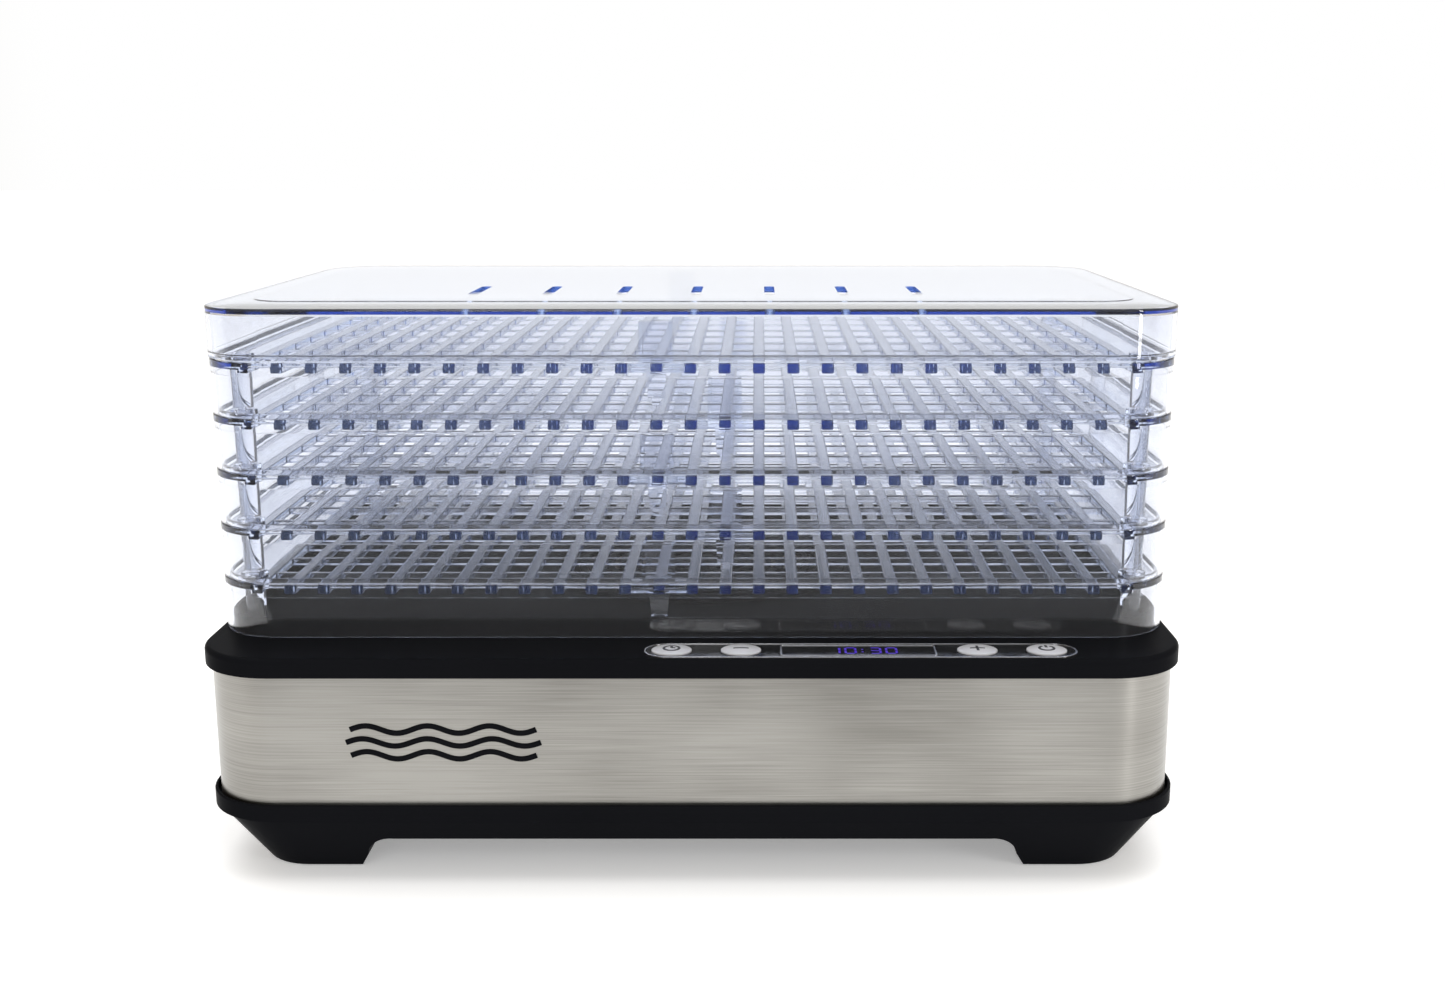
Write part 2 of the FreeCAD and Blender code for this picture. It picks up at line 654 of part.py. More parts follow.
def make_heater_frame():
    boards = []
    for angle in (45, 135):
        board = box(-76, 76, -0.6, 0.6, HEATER_BOTTOM, HEATER_TOP)
        board.rotate(V(0, 0, 0), V(0, 0, 1), angle)
        board.translate(V(AXIS_X, AXIS_Y, 0))
        boards.append(board)
    return fuse(boards).cut([coil_ring(r, 0.2) for r in HEATER_COIL_RADII])


def coil_ring(radius, grow=0.0):
    return Part.makeTorus(radius, HEATER_WIRE_COIL + grow, V(AXIS_X, AXIS_Y, HEATER_COIL_Z))


def make_heater_coil():
    return Part.makeCompound([coil_ring(r) for r in HEATER_COIL_RADII])


def make_thermal_cutout():
    face = AXIS_X - DUCT_OUTER - 0.1
    can = rod_along(V(face, AXIS_Y, 84), V(-1, 0, 0), 8, 8.0)
    tabs = box(face - 12, face - 8, AXIS_Y - 5, AXIS_Y + 5, 83.6, 84.4)
    return fuse([can, tabs])


def make_air_sensor():
    probe = rod_along(V(AXIS_X + 60, AXIS_Y, SENSOR_Z), V(1, 0, 0), 20, 2.0)
    head = rod_along(V(AXIS_X + DUCT_OUTER + 0.1, AXIS_Y, SENSOR_Z), V(1, 0, 0), 7, 4.0)
    return fuse([probe, head])


# ---- Wiring ----

def routed_tube(points, radius, bend):
    """Round wire along straight runs joined by tangent arcs."""
    points = [V(*p) for p in points]
    edges = []
    start = points[0]
    for before, corner, after in zip(points, points[1:], points[2:]):
        u = (before - corner).normalize()
        w = (after - corner).normalize()
        half = u.getAngle(w) / 2
        reach = bend / math.tan(half)
        first = corner + u * reach
        last = corner + w * reach
        axis = (u + w).normalize()
        centre = corner + axis * (bend / math.sin(half))
        middle = centre - axis * bend
        edges.append(Part.makeLine(start, first))
        edges.append(Part.Arc(first, middle, last).toShape())
        start = last
    edges.append(Part.makeLine(start, points[-1]))
    path = Part.Wire(edges)
    heading = points[1] - points[0]
    profile = Part.Face(Part.Wire(Part.makeCircle(radius, points[0], heading)))
    wire = path.makePipe(profile)
    expected = math.pi * radius ** 2 * path.Length
    print(f"wire length {path.Length:7.1f} mm, volume ratio {wire.Volume / expected:.3f}")
    return wire


def make_mains_leads():
    y_gland = 139.0
    z_end = BOARD_TOP + 5
    runs = []
    for x in (GLAND_X - 2.2, GLAND_X + 2.2):
        runs.append(routed_tube(((x, y_gland, GLAND_Z), (x, 108, GLAND_Z), (x, 60, z_end),
                                 (x, TERMINALS_BACK, z_end)), 1.4, 12.0))
    return Part.makeCompound(runs)


def make_motor_leads():
    z_end = BOARD_TOP + 5
    y = AXIS_Y + 60
    return routed_tube(((AXIS_X + 14.5, y, MOTOR_LEAD_Z), (70, y, MOTOR_LEAD_Z),
                        (112, 52, 40), (139, 26, z_end), (139, TERMINALS_BACK, z_end)), 1.6, 9.0)


def make_heater_leads():
    ring = HEATER_COIL_RADII[1] + HEATER_WIRE_COIL + 0.2
    x = AXIS_X + math.sqrt(ring ** 2 - (HEATER_LEAD_Y - AXIS_Y) ** 2)
    return routed_tube(((x, HEATER_LEAD_Y, HEATER_LEAD_Z), (100, HEATER_LEAD_Y, HEATER_LEAD_Z),
                        (132, -41, 82), (132, -41, BOARD_TOP + 17)), 1.5, 8.0)


def make_panel_ribbon():
    """Flat cable in a vertical plane, from the control board to the power board."""
    x0, x1 = 122.5, 134.5
    half = 0.4
    line = [(-133.0, CONTROL_BOARD_Z), (-133.0, 78.0), (-116.0, 60.0), (-84.0, 52.0),
            (-68.0, 40.0), (-62.0, 32.4), (-57.0, 32.4)]
    lower = []
    upper = []
    for i, (y, z) in enumerate(line):
        before = line[max(i - 1, 0)]
        after = line[min(i + 1, len(line) - 1)]
        dy = after[0] - before[0]
        dz = after[1] - before[1]
        size = math.hypot(dy, dz)
        lower.append(V(x0, y + half * dz / size, z - half * dy / size))
        upper.append(V(x0, y - half * dz / size, z + half * dy / size))
    face = Part.Face(Part.makePolygon(lower + upper[::-1] + lower[:1]))
    cable = face.extrude(V(x1 - x0, 0, 0))
    plug = box(x0 - 1, x1 + 1, -57, -51.5, BOARD_TOP, BOARD_TOP + 5)
    return fuse([cable, plug])


def make_cord_gland():
    """Strain-relief collar in the back wall, with its nut inside."""
    wall = STEEL[1] / 2
    out = V(0, 1, 0)
    parts = [rod_along(V(GLAND_X, wall - 9, GLAND_Z), out, 9.5, 8.0),
             rod_along(V(GLAND_X, wall, GLAND_Z), out, 1.8, 10.5),
             rod_along(V(GLAND_X, wall + 1.8, GLAND_Z), out, 1.2, 7.0),
             rod_along(V(GLAND_X, wall - SHEET - 4, GLAND_Z), out, 4.0, 10.5)]
    return fuse(parts).cut(rod_along(V(GLAND_X, wall - 12, GLAND_Z), out, 30, GLAND_BORE))


# ---- Screws, grouped by what they hold ----

def screw(x, y, seat, head_radius, head_height, shank_radius, length, up=1):
    """Head below the seat and shank above it, or the other way round for up=-1."""
    head = sorted((seat, seat - up * head_height))
    shank = sorted((seat, seat + up * length))
    return rod(x, y, *head, head_radius).fuse(rod(x, y, *shank, shank_radius))


def make_housing_screws():
    seat = FLOOR_BOTTOM + 4
    return Part.makeCompound([screw(x, y, seat, 3.8, 2.6, 1.9, 18) for x, y in HOUSING_SCREWS])


def make_duct_screws():
    seat = FLOOR_TOP + 8
    return Part.makeCompound([screw(x, y, seat, 2.8, 2.0, 1.45, 7, up=-1) for x, y in duct_ears()])


def make_board_screws():
    screws = [screw(x, y, BOARD_TOP, 2.6, 1.8, 1.45, 7, up=-1) for x, y in power_board_corners()]
    screws += [screw(x, y, CONTROL_BOARD_Z, 2.4, 1.6, 1.25, 8) for x, y in CONTROL_SCREWS]
    return Part.makeCompound(screws)


def make_motor_screws():
    strap_top = UPPER_STRAP_Z + STRAP_THICK
    screws = [screw(AXIS_X + x, AXIS_Y, strap_top, 3.0, 2.0, 1.7, 31, up=-1) for x in (-22, 22)]
    ledge_seat = LEDGE_TOP + STRAP_THICK
    screws += [screw(AXIS_X + x, AXIS_Y, ledge_seat, 2.8, 1.8, 1.45, 5, up=-1)
               for x in (-68, 68)]
    return Part.makeCompound(screws)


# ---- Trays: the frame is the walls and locating features, the grid is the grille ----

GRID_HALF_X = BAR_PITCH * BARS_EACH_SIDE + BAR_WIDTH / 2
GRID_HALF_Y = TRAY[1] / 2 - RIB_INNER


def make_tray_grid():
    """Flat grille with toothed ends, centred on the tray, lying about height 0."""
    outer_cross = CROSS_PITCH * CROSS_EACH_SIDE + CROSS_WIDTH / 2
    tooth = [BAR_PITCH * i for i in range(-BARS_EACH_SIDE, BARS_EACH_SIDE + 1)]
    half = BAR_WIDTH / 2
    front = []
    for x in tooth:
        front += [(x - half, -outer_cross), (x - half, -GRID_HALF_Y),
                  (x + half, -GRID_HALF_Y), (x + half, -outer_cross)]
    front = front[1:-1]
    back = [(-x, -y) for x, y in front]
    rim = [V(x, y, BAR_BOTTOM) for x, y in front + back]
    wires = [Part.makePolygon(rim + rim[:1])]
    hole_x = (BAR_PITCH - BAR_WIDTH) / 2
    hole_y = (CROSS_PITCH - CROSS_WIDTH) / 2
    for i in range(-BARS_EACH_SIDE, BARS_EACH_SIDE):
        for j in range(-CROSS_EACH_SIDE, CROSS_EACH_SIDE):
            x = BAR_PITCH * (i + 0.5)
            y = CROSS_PITCH * (j + 0.5)
            ring = [V(x + sx * hole_x, y + sy * hole_y, BAR_BOTTOM)
                    for sx, sy in ((-1, -1), (-1, 1), (1, 1), (1, -1))]
            wires.append(Part.makePolygon(ring + ring[:1]))
    face = Part.Face(wires)
    grid = face.extrude(V(0, 0, BAR_TOP - BAR_BOTTOM))
    return grid.cut([spacer_pad(side) for side in (-1, 1)])


def spacer_pad(side):
    """Solid pad under a spacer tab, between the rib and the first cross bar."""
    y = sorted((side * GRID_HALF_Y, side * (GRID_HALF_Y - TAB_SIZE[1])))
    return box(TAB_X - PAD_WIDTH / 2, TAB_X + PAD_WIDTH / 2, *y, BAR_BOTTOM, BAR_TOP)


def make_tray_frame():
    centre = (0.0, 0.0)
    plate = prism(TRAY, MARGIN_BOTTOM, BAR_TOP)
    collar = frame_ring(TRAY, BAR_BOTTOM, BAR_TOP, 0.0, RIB_INNER)
    band = frame_ring(TRAY, BAND_BOTTOM, BAND_TOP, 0.0, SKIRT_INNER)
    rib = frame_ring(TRAY, BAR_BOTTOM, RIB_TOP, RIB_OUTER, RIB_INNER)
    skirt = frame_ring(TRAY, SKIRT_BOTTOM, BAND_BOTTOM, SKIRT_INSET, SKIRT_INNER)
    parts = [plate, collar, band, rib, skirt]
    for x, y in four_ways(POST_X, POST_Y):
        parts.append(oval(POST_SIZE, POST_BOTTOM, BAR_TOP, (x, y)))
        parts.append(rod(x, y, POST_TIP_BOTTOM, POST_BOTTOM, POST_TIP_RADIUS))
    grid_space = box(-GRID_HALF_X, GRID_HALF_X, -GRID_HALF_Y, GRID_HALF_Y, BAR_BOTTOM, BAR_TOP)
    frame = fuse(parts).cut(grid_space)
    tops = []
    for x, y in four_ways(POST_X, POST_Y):
        socket = oval(SOCKET_OUTER, BAR_TOP, SOCKET_TOP, (x, y))
        tops.append(socket.cut(rod(x, y, BAR_TOP - 1, SOCKET_TOP + 1, SOCKET_INNER_RADIUS)))
    for side in (-1, 1):
        y = side * (GRID_HALF_Y - TAB_SIZE[1] / 2)
        tab = prism((*TAB_SIZE, 0.8), BAR_TOP, TAB_TOP, (TAB_X, y))
        well = prism((*TAB_SIZE, 0.8), TAB_FLOOR, TAB_TOP + 1, (TAB_X, y), TAB_WALL)
        tops += [spacer_pad(side), tab.cut(well), make_peg(y)]
    return fuse([frame] + tops)


def make_peg(y):
    """Tapered spacer peg with a narrow tip, hanging under the pad."""
    shoulder_z = -13.6
    profile = [(-4.5, BAR_BOTTOM), (-3.7, shoulder_z), (-2.4, shoulder_z), (-2.2, PEG_BOTTOM),
               (2.2, PEG_BOTTOM), (2.4, shoulder_z), (3.7, shoulder_z), (4.5, BAR_BOTTOM)]
    points = [V(TAB_X + x, y - PEG_DEPTH / 2, z) for x, z in profile]
    return Part.Face(Part.makePolygon(points + points[:1])).extrude(V(0, PEG_DEPTH, 0))


# ---- Lid ----

def make_lid():
    wall_bottom = LOWEST_BARS_Z + TRAY_PITCH * (TRAY_COUNT - 1) + BAND_TOP
    shell = prism(LID, wall_bottom, LID_EDGE_TOP, (0, TRAY_Y))
    top_edges = [e for e in shell.Edges
                 if abs(e.BoundBox.ZMin - LID_EDGE_TOP) < 1e-6]
    shell = shell.makeFillet(1.2, top_edges)
    inside = prism(LID, wall_bottom + LID_SEAT_HEIGHT, LID_PLATE_BOTTOM, (0, TRAY_Y), LID_WALL)
    mouth = prism(TRAY, wall_bottom - 1, wall_bottom + LID_SEAT_HEIGHT + 1, (0, TRAY_Y),
                  SKIRT_INNER)
    panel = prism(LID_PANEL, LID_EDGE_TOP - 0.5, LID_TOP, (0, TRAY_Y))
    cuts = [inside, mouth]
    width, length = SLOT_SIZE
    for i in range(SLOT_COUNT):
        x = SLOT_PITCH * (i - (SLOT_COUNT - 1) / 2)
        cuts.append(prism((width, length, width / 2 - 0.01), LID_PLATE_BOTTOM - 1, LID_TOP + 1,
                          (x, SLOT_Y)))
    return shell.fuse(panel).cut(cuts).removeSplitter()


# ---- Write every piece ----

BASE_PIECES = {
    "base_pan": make_base_pan,
    "steel_band": make_steel_band,
    "top_deck": make_top_deck,
    "deck_collar": make_deck_collar,
    "outlet_grille": make_outlet_grille,
    "intake_grille": make_intake_grille,
    "control_fascia": make_control_fascia,
    "fascia_trim": make_fascia_trim,
    "display_frame": make_display_frame,
    "display_window": make_display_window,
    "display_module": make_display_module,
    "control_board": make_control_board,
    "tact_switches": make_tact_switches,
    "power_board": make_power_board,
    "relay": make_relay,
    "transformer": make_transformer,
    "capacitors": make_capacitors,
    "terminal_block": make_terminal_block,
    "cord_gland": make_cord_gland,
    "fan_duct": make_fan_duct,
    "motor_core": make_motor_core,
    "motor_coil": make_motor_coil,
    "motor_bracket_lower": make_motor_bracket_lower,
    "motor_bracket_upper": make_motor_bracket_upper,
    "motor_bearings": make_motor_bearings,
    "motor_rotor": make_motor_rotor,
    "motor_shaft": make_motor_shaft,
    "fan_blades": make_fan_blades,
    "heater_frame": make_heater_frame,
    "heater_coil": make_heater_coil,
    "thermal_cutout": make_thermal_cutout,
    "air_sensor": make_air_sensor,
    "mains_leads": make_mains_leads,
    "motor_leads": make_motor_leads,
    "heater_leads": make_heater_leads,
    "panel_ribbon": make_panel_ribbon,
    "housing_screws": make_housing_screws,
    "duct_screws": make_duct_screws,
    "board_screws": make_board_screws,
    "motor_screws": make_motor_screws,
    "lid": make_lid,
}
for piece_name, make_piece in BASE_PIECES.items():
    export(piece_name, make_piece())

for side_name, pad_x in (("left", -FOOT_PAD_AT[0]), ("right", FOOT_PAD_AT[0])):
    for end_name, pad_y in (("front", -FOOT_PAD_AT[1]), ("rear", FOOT_PAD_AT[1])):
        export(f"foot_pad_{end_name}_{side_name}", make_foot_pad(pad_x, pad_y))

for button_name, button_x in BUTTONS.items():
    export(button_name, make_button(button_x))

# Tray 1 is the top one. Each tray is turned end for end from its neighbours.
tray_frame = make_tray_frame()
tray_grid = make_tray_grid()
for number in range(1, TRAY_COUNT + 1):
    height = LOWEST_BARS_Z + TRAY_PITCH * (TRAY_COUNT - number)
    for kind, master in (("frame", tray_frame), ("grid", tray_grid)):
        tray = master.copy()
        if number % 2 == 0:
            tray.rotate(V(0, 0, 0), V(0, 0, 1), 180)
        tray.translate(V(0, TRAY_Y, height))
        export(f"tray_{number}_{kind}", tray)
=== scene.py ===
import bmesh
import bpy
import json
import math
from mathutils import Matrix, Vector

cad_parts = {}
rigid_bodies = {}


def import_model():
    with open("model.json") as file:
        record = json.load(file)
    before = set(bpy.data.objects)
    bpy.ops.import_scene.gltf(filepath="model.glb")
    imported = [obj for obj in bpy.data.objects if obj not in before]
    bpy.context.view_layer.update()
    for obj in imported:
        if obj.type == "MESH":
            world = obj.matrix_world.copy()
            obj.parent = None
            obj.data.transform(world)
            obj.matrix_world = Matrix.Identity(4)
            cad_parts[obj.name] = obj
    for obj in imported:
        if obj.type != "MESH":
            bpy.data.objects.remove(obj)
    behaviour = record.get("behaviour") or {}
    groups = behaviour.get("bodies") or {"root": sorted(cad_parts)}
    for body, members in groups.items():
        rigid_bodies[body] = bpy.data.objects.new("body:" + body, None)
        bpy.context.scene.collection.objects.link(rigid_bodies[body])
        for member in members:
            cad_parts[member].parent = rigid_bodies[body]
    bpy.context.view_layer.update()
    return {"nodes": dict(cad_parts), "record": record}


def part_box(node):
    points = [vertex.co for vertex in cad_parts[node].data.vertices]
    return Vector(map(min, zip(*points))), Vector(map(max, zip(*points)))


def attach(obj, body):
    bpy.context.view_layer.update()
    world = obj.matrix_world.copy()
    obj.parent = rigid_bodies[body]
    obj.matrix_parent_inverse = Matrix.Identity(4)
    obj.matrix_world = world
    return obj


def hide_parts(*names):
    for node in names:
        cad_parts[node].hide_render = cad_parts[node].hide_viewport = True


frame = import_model()
MM = 0.001

# ---------------------------------------------------------------- studio
# A pale table top that ends half a metre in front of the object, a soft light
# overhead and two in front. The camera looks a little down on the front.

camera_data = bpy.data.cameras.new("camera")
camera_data.sensor_width = 36.0
camera_data.lens = 40.58
camera_data.shift_x = -0.0246
camera_data.clip_start = 0.01
camera = bpy.data.objects.new("camera", camera_data)
camera.location = (0.0299, -0.8294, 0.3230)
camera.rotation_euler = (math.radians(77.708), 0.0, 0.0)
bpy.context.collection.objects.link(camera)
bpy.context.scene.camera = camera
bpy.context.scene.view_settings.view_transform = "Standard"

# Clear walls stand one behind another, so light is followed through many of them.
light_paths = bpy.context.scene.cycles
light_paths.max_bounces = 40
light_paths.transmission_bounces = 40
light_paths.transparent_max_bounces = 16
light_paths.glossy_bounces = 8
light_paths.sample_clamp_indirect = 6.0


def new_material(name):
    """Empty node material: the material, its tree and its Principled shader."""
    material = bpy.data.materials.new(name)
    material.use_nodes = True
    tree = material.node_tree
    return material, tree, tree.nodes["Principled BSDF"]


def set_inputs(node, **values):
    """Give a node's inputs fixed values; an underscore stands for a space."""
    for name, value in values.items():
        node.inputs[name.replace("_", " ")].default_value = value


def noise_on_object(tree, scale, detail=3.0, stretch=(1.0, 1.0, 1.0)):
    """Noise laid over a piece in its own coordinates; returns its value socket."""
    coordinates = tree.nodes.new("ShaderNodeTexCoord")
    mapping = tree.nodes.new("ShaderNodeMapping")
    mapping.inputs["Scale"].default_value = stretch
    noise = tree.nodes.new("ShaderNodeTexNoise")
    set_inputs(noise, Scale=scale, Detail=detail)
    tree.links.new(coordinates.outputs["Object"], mapping.inputs["Vector"])
    tree.links.new(mapping.outputs["Vector"], noise.inputs["Vector"])
    return noise.outputs["Fac"]


def spread(tree, value, low, high):
    """Map a 0..1 value to a range."""
    ramp = tree.nodes.new("ShaderNodeMapRange")
    set_inputs(ramp, To_Min=low, To_Max=high)
    tree.links.new(value, ramp.inputs["Value"])
    return ramp.outputs["Result"]


def bump_from(tree, shader, value, strength, distance):
    """Fine relief from a 0..1 value."""
    bump = tree.nodes.new("ShaderNodeBump")
    set_inputs(bump, Strength=strength, Distance=distance)
    tree.links.new(value, bump.inputs["Height"])
    tree.links.new(bump.outputs["Normal"], shader.inputs["Normal"])


def shade_between(tree, shader, value, dark, light):
    """Colour that wanders between two close shades."""
    mix = tree.nodes.new("ShaderNodeMix")
    mix.data_type = "RGBA"
    mix.inputs["A"].default_value = (*dark, 1.0)
    mix.inputs["B"].default_value = (*light, 1.0)
    tree.links.new(value, mix.inputs["Factor"])
    tree.links.new(mix.outputs["Result"], shader.inputs["Base Color"])


floor_material, floor_tree, floor_shader = new_material("studio_floor")
set_inputs(floor_shader, Roughness=0.8, Specular_IOR_Level=0.1, Emission_Strength=0.30)
floor_shader.inputs["Emission Color"].default_value = (1.0, 1.0, 1.0, 1.0)
shade_between(floor_tree, floor_shader, noise_on_object(floor_tree, 3.0),
              (0.93, 0.93, 0.93), (0.95, 0.95, 0.95))
floor_mesh = bpy.data.meshes.new("floor")
FLOOR_FRONT = -0.5
FLOOR_BACK = 12.0
FLOOR_SIDE = 9.0
corners = [(-FLOOR_SIDE, FLOOR_FRONT, 0), (FLOOR_SIDE, FLOOR_FRONT, 0),
           (FLOOR_SIDE, FLOOR_BACK, 0), (-FLOOR_SIDE, FLOOR_BACK, 0)]
floor_mesh.from_pydata(corners, [], [(0, 1, 2, 3)])
floor_mesh.materials.append(floor_material)
floor = bpy.data.objects.new("floor", floor_mesh)
bpy.context.collection.objects.link(floor)

world = bpy.data.worlds.new("studio")
bpy.context.scene.world = world
world.use_nodes = True
sky = world.node_tree
background = sky.nodes["Background"]
direction = sky.nodes.new("ShaderNodeTexCoord")
split = sky.nodes.new("ShaderNodeSeparateXYZ")
sky.links.new(direction.outputs["Generated"], split.inputs["Vector"])


def sky_range(value, start, end, low, high):
    """Smooth change of the sky from one brightness to another along one direction."""
    ramp = sky.nodes.new("ShaderNodeMapRange")
    ramp.interpolation_type = "SMOOTHSTEP"
    set_inputs(ramp, From_Min=start, From_Max=end, To_Min=low, To_Max=high)
    sky.links.new(value, ramp.inputs["Value"])
    return ramp.outputs["Result"]


def sky_math(operation, first, second=None):
    """Sum, product or size of brightness values."""
    node = sky.nodes.new("ShaderNodeMath")
    node.operation = operation
    sky.links.new(first, node.inputs[0])
    if second is not None:
        sky.links.new(second, node.inputs[1])
    return node.outputs["Value"]


# Bright behind and above, dimmer in front, dark below the table's front edge,
# and warm grey at both sides.
behind = sky_range(split.outputs["Y"], -0.2, 0.4, 0.55, 1.0)
above = sky_range(split.outputs["Z"], 0.35, 0.9, 0.0, 0.35)
below = sky_range(split.outputs["Z"], -0.30, -0.05, 0.28, 1.0)
background_light = sky_math("MULTIPLY", sky_math("ADD", behind, above), below)
side = sky_range(sky_math("ABSOLUTE", split.outputs["X"]), 0.38, 0.62, 0.0, 1.0)
sky_mix = sky.nodes.new("ShaderNodeMix")
sky_mix.data_type = "RGBA"
sky_mix.inputs["A"].default_value = (1.0, 1.0, 1.0, 1.0)
sky_mix.inputs["B"].default_value = (0.70, 0.63, 0.54, 1.0)
sky.links.new(side, sky_mix.inputs["Factor"])
sky.links.new(sky_mix.outputs["Result"], background.inputs["Color"])
sky.links.new(background_light, background.inputs["Strength"])


def soft_light(name, place, aim, width, height, power):
    """Rectangular lamp turned towards a point, and not seen itself."""
    data = bpy.data.lights.new(name, "AREA")
    data.shape = "RECTANGLE"
    data.size = width
    data.size_y = height
    data.energy = power
    lamp = bpy.data.objects.new(name, data)
    lamp.location = place
    lamp.visible_camera = False
    lamp.visible_transmission = False
    lamp.rotation_euler = (Vector(aim) - Vector(place)).to_track_quat("-Z", "Y").to_euler()
    bpy.context.collection.objects.link(lamp)


soft_light("overhead", (0.0, 0.1, 1.9), (0.0, 0.0, 0.1), 2.4, 1.8, 22.0)
soft_light("front_left", (-0.35, -2.2, 1.1), (0.0, 0.0, 0.1), 0.7, 1.0, 7.0)
soft_light("front_right", (1.35, -1.35, 0.5), (0.1, 0.0, 0.1), 0.2, 1.0, 8.0)


# ------------------------------------------------------ black base mouldings
# The pan with its lip and four feet, and the deck with its rim and tray
# collar, are injection mouldings in black ABS with a fine satin texture,
# screwed together through the base with the steel band held between them.

satin_black, black_tree, black_shader = new_material("satin_black_abs")
set_inputs(black_shader, Specular_IOR_Level=0.004)
black_grain = noise_on_object(black_tree, 2600.0, 2.0)
black_drift = noise_on_object(black_tree, 14.0, 3.0)
shade_between(black_tree, black_shader, black_drift, (0.0055, 0.0058, 0.0072), (0.008, 0.0084, 0.010))
black_tree.links.new(spread(black_tree, black_drift, 0.30, 0.40), black_shader.inputs["Roughness"])
bump_from(black_tree, black_shader, black_grain, 0.25, 0.00003)


def modified(mesh, apply_to):
    """The plain mesh that comes of giving a mesh some modifiers and applying them."""
    draft = bpy.data.objects.new("draft", mesh)
    bpy.context.collection.objects.link(draft)
    apply_to(draft)
    graph = bpy.context.evaluated_depsgraph_get()
    result = bpy.data.meshes.new_from_object(draft.evaluated_get(graph))
    bpy.data.objects.remove(draft)
    return result


def finish_object(name, mesh, material):
    """Put a finished mesh in the scene: one material, and smooth except at real edges."""
    for face in mesh.polygons:
        face.use_smooth = True
        face.material_index = 0
    mesh.set_sharp_from_angle(angle=math.radians(32))

    def flatten_flats(draft):
        weighted = draft.modifiers.new("normals", "WEIGHTED_NORMAL")
        weighted.keep_sharp = True

    mesh = modified(mesh, flatten_flats)
    mesh.name = name
    mesh.materials.clear()
    mesh.materials.append(material)
    piece = bpy.data.objects.new(name, mesh)
    bpy.context.collection.objects.link(piece)
    return piece


def softened_node(name, node, material, width, body="base"):
    """Welded copy of a CAD node with its sharp edges rounded over."""
    shape = bmesh.new()
    shape.from_mesh(frame["nodes"][node].data)
    bmesh.ops.remove_doubles(shape, verts=shape.verts, dist=0.000004)
    bmesh.ops.dissolve_limit(shape, angle_limit=math.radians(0.6),
                             verts=shape.verts, edges=shape.edges)
    mesh = bpy.data.meshes.new(name)
    shape.to_mesh(mesh)
    shape.free()

    def round_edges(draft):
        bevel = draft.modifiers.new("edges", "BEVEL")
        bevel.width = width
        bevel.segments = 2
        bevel.limit_method = "ANGLE"
        bevel.angle_limit = math.radians(35)

    piece = finish_object(name, modified(mesh, round_edges), material)
    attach(piece, body)
    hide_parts(node)
    return piece


softened_node("base_pan_moulding", "base_pan", satin_black, 0.5 * MM)
softened_node("top_deck_moulding", "top_deck", satin_black, 0.35 * MM)
softened_node("deck_collar_ring", "deck_collar", satin_black, 0.4 * MM)
softened_node("outlet_grille_moulding", "outlet_grille", satin_black, 0.3 * MM)
softened_node("intake_grille_moulding", "intake_grille", satin_black, 0.3 * MM)


# ------------------------------------------------------------- steel band
# A strip of 0.6 mm stainless sheet, bent round the base and brushed along
# its length. Its top and bottom edges are hidden by the two mouldings.

def rounded_loop(size, inset, z, centre_y=0.0, steps=12):
    """Points of a rounded rectangle, anticlockwise from the front right corner."""
    width, depth, radius = size
    half_w = width / 2 - inset
    half_d = depth / 2 - inset
    r = max(radius - inset, 0.3 * MM)
    points = []
    for sx, sy, start in ((1, -1, 270), (1, 1, 0), (-1, 1, 90), (-1, -1, 180)):
        for i in range(steps + 1):
            a = math.radians(start + 90 * i / steps)
            x = sx * (half_w - r) + r * math.cos(a)
            y = sy * (half_d - r) + r * math.sin(a)
            points.append(Vector((x, centre_y + y, z)))
    return points


def skin_loops(name, loops, ring):
    """Mesh through loops of points: a closed ring section, or a capped solid."""
    shape = bmesh.new()
    rows = [[shape.verts.new(p) for p in loop] for loop in loops]
    pairs = list(zip(rows, rows[1:]))
    if ring:
        pairs.append((rows[-1], rows[0]))
    for low, high in pairs:
        for i in range(len(low)):
            j = (i + 1) % len(low)
            shape.faces.new((low[i], low[j], high[j], high[i]))
    if not ring:
        shape.faces.new(rows[0])
        shape.faces.new(rows[-1])
    bmesh.ops.recalc_face_normals(shape, faces=shape.faces)
    mesh = bpy.data.meshes.new(name)
    shape.to_mesh(mesh)
    shape.free()
    return mesh


def eased(section, radius, steps=3):
    """Closed section with each corner turned into a short arc."""
    result = []
    count = len(section)
    for i, corner in enumerate(section):
        corner = Vector(corner)
        before = Vector(section[i - 1]) - corner
        after = Vector(section[(i + 1) % count]) - corner
        cut = min(radius, 0.45 * before.length, 0.45 * after.length)
        first = corner + before.normalized() * cut
        last = corner + after.normalized() * cut
        for k in range(steps + 1):
            t = k / steps
            bend = first.lerp(corner, t).lerp(corner.lerp(last, t), t)
            result.append((bend.x, bend.y))
    return result


low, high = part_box("steel_band")
STEEL = (0.436, 0.298, 0.033)
SHEET = 0.6 * MM
steel, steel_tree, steel_shader = new_material("brushed_stainless")
set_inputs(steel_shader, Metallic=1.0, Anisotropic=0.6, Anisotropic_Rotation=0.25)
steel_grain = steel_tree.nodes.new("ShaderNodeTangent")
steel_grain.direction_type = "UV_MAP"
steel_grain.uv_map = "along_band"
steel_tree.links.new(steel_grain.outputs["Tangent"], steel_shader.inputs["Tangent"])
steel_uv = steel_tree.nodes.new("ShaderNodeUVMap")
steel_uv.uv_map = "along_band"
steel_lines = steel_tree.nodes.new("ShaderNodeTexNoise")
set_inputs(steel_lines, Scale=1.0, Detail=4.0, Roughness=0.6)
steel_stretch = steel_tree.nodes.new("ShaderNodeMapping")
steel_stretch.inputs["Scale"].default_value = (14.0, 1500.0, 1.0)
steel_tree.links.new(steel_uv.outputs["UV"], steel_stretch.inputs["Vector"])
steel_tree.links.new(steel_stretch.outputs["Vector"], steel_lines.inputs["Vector"])
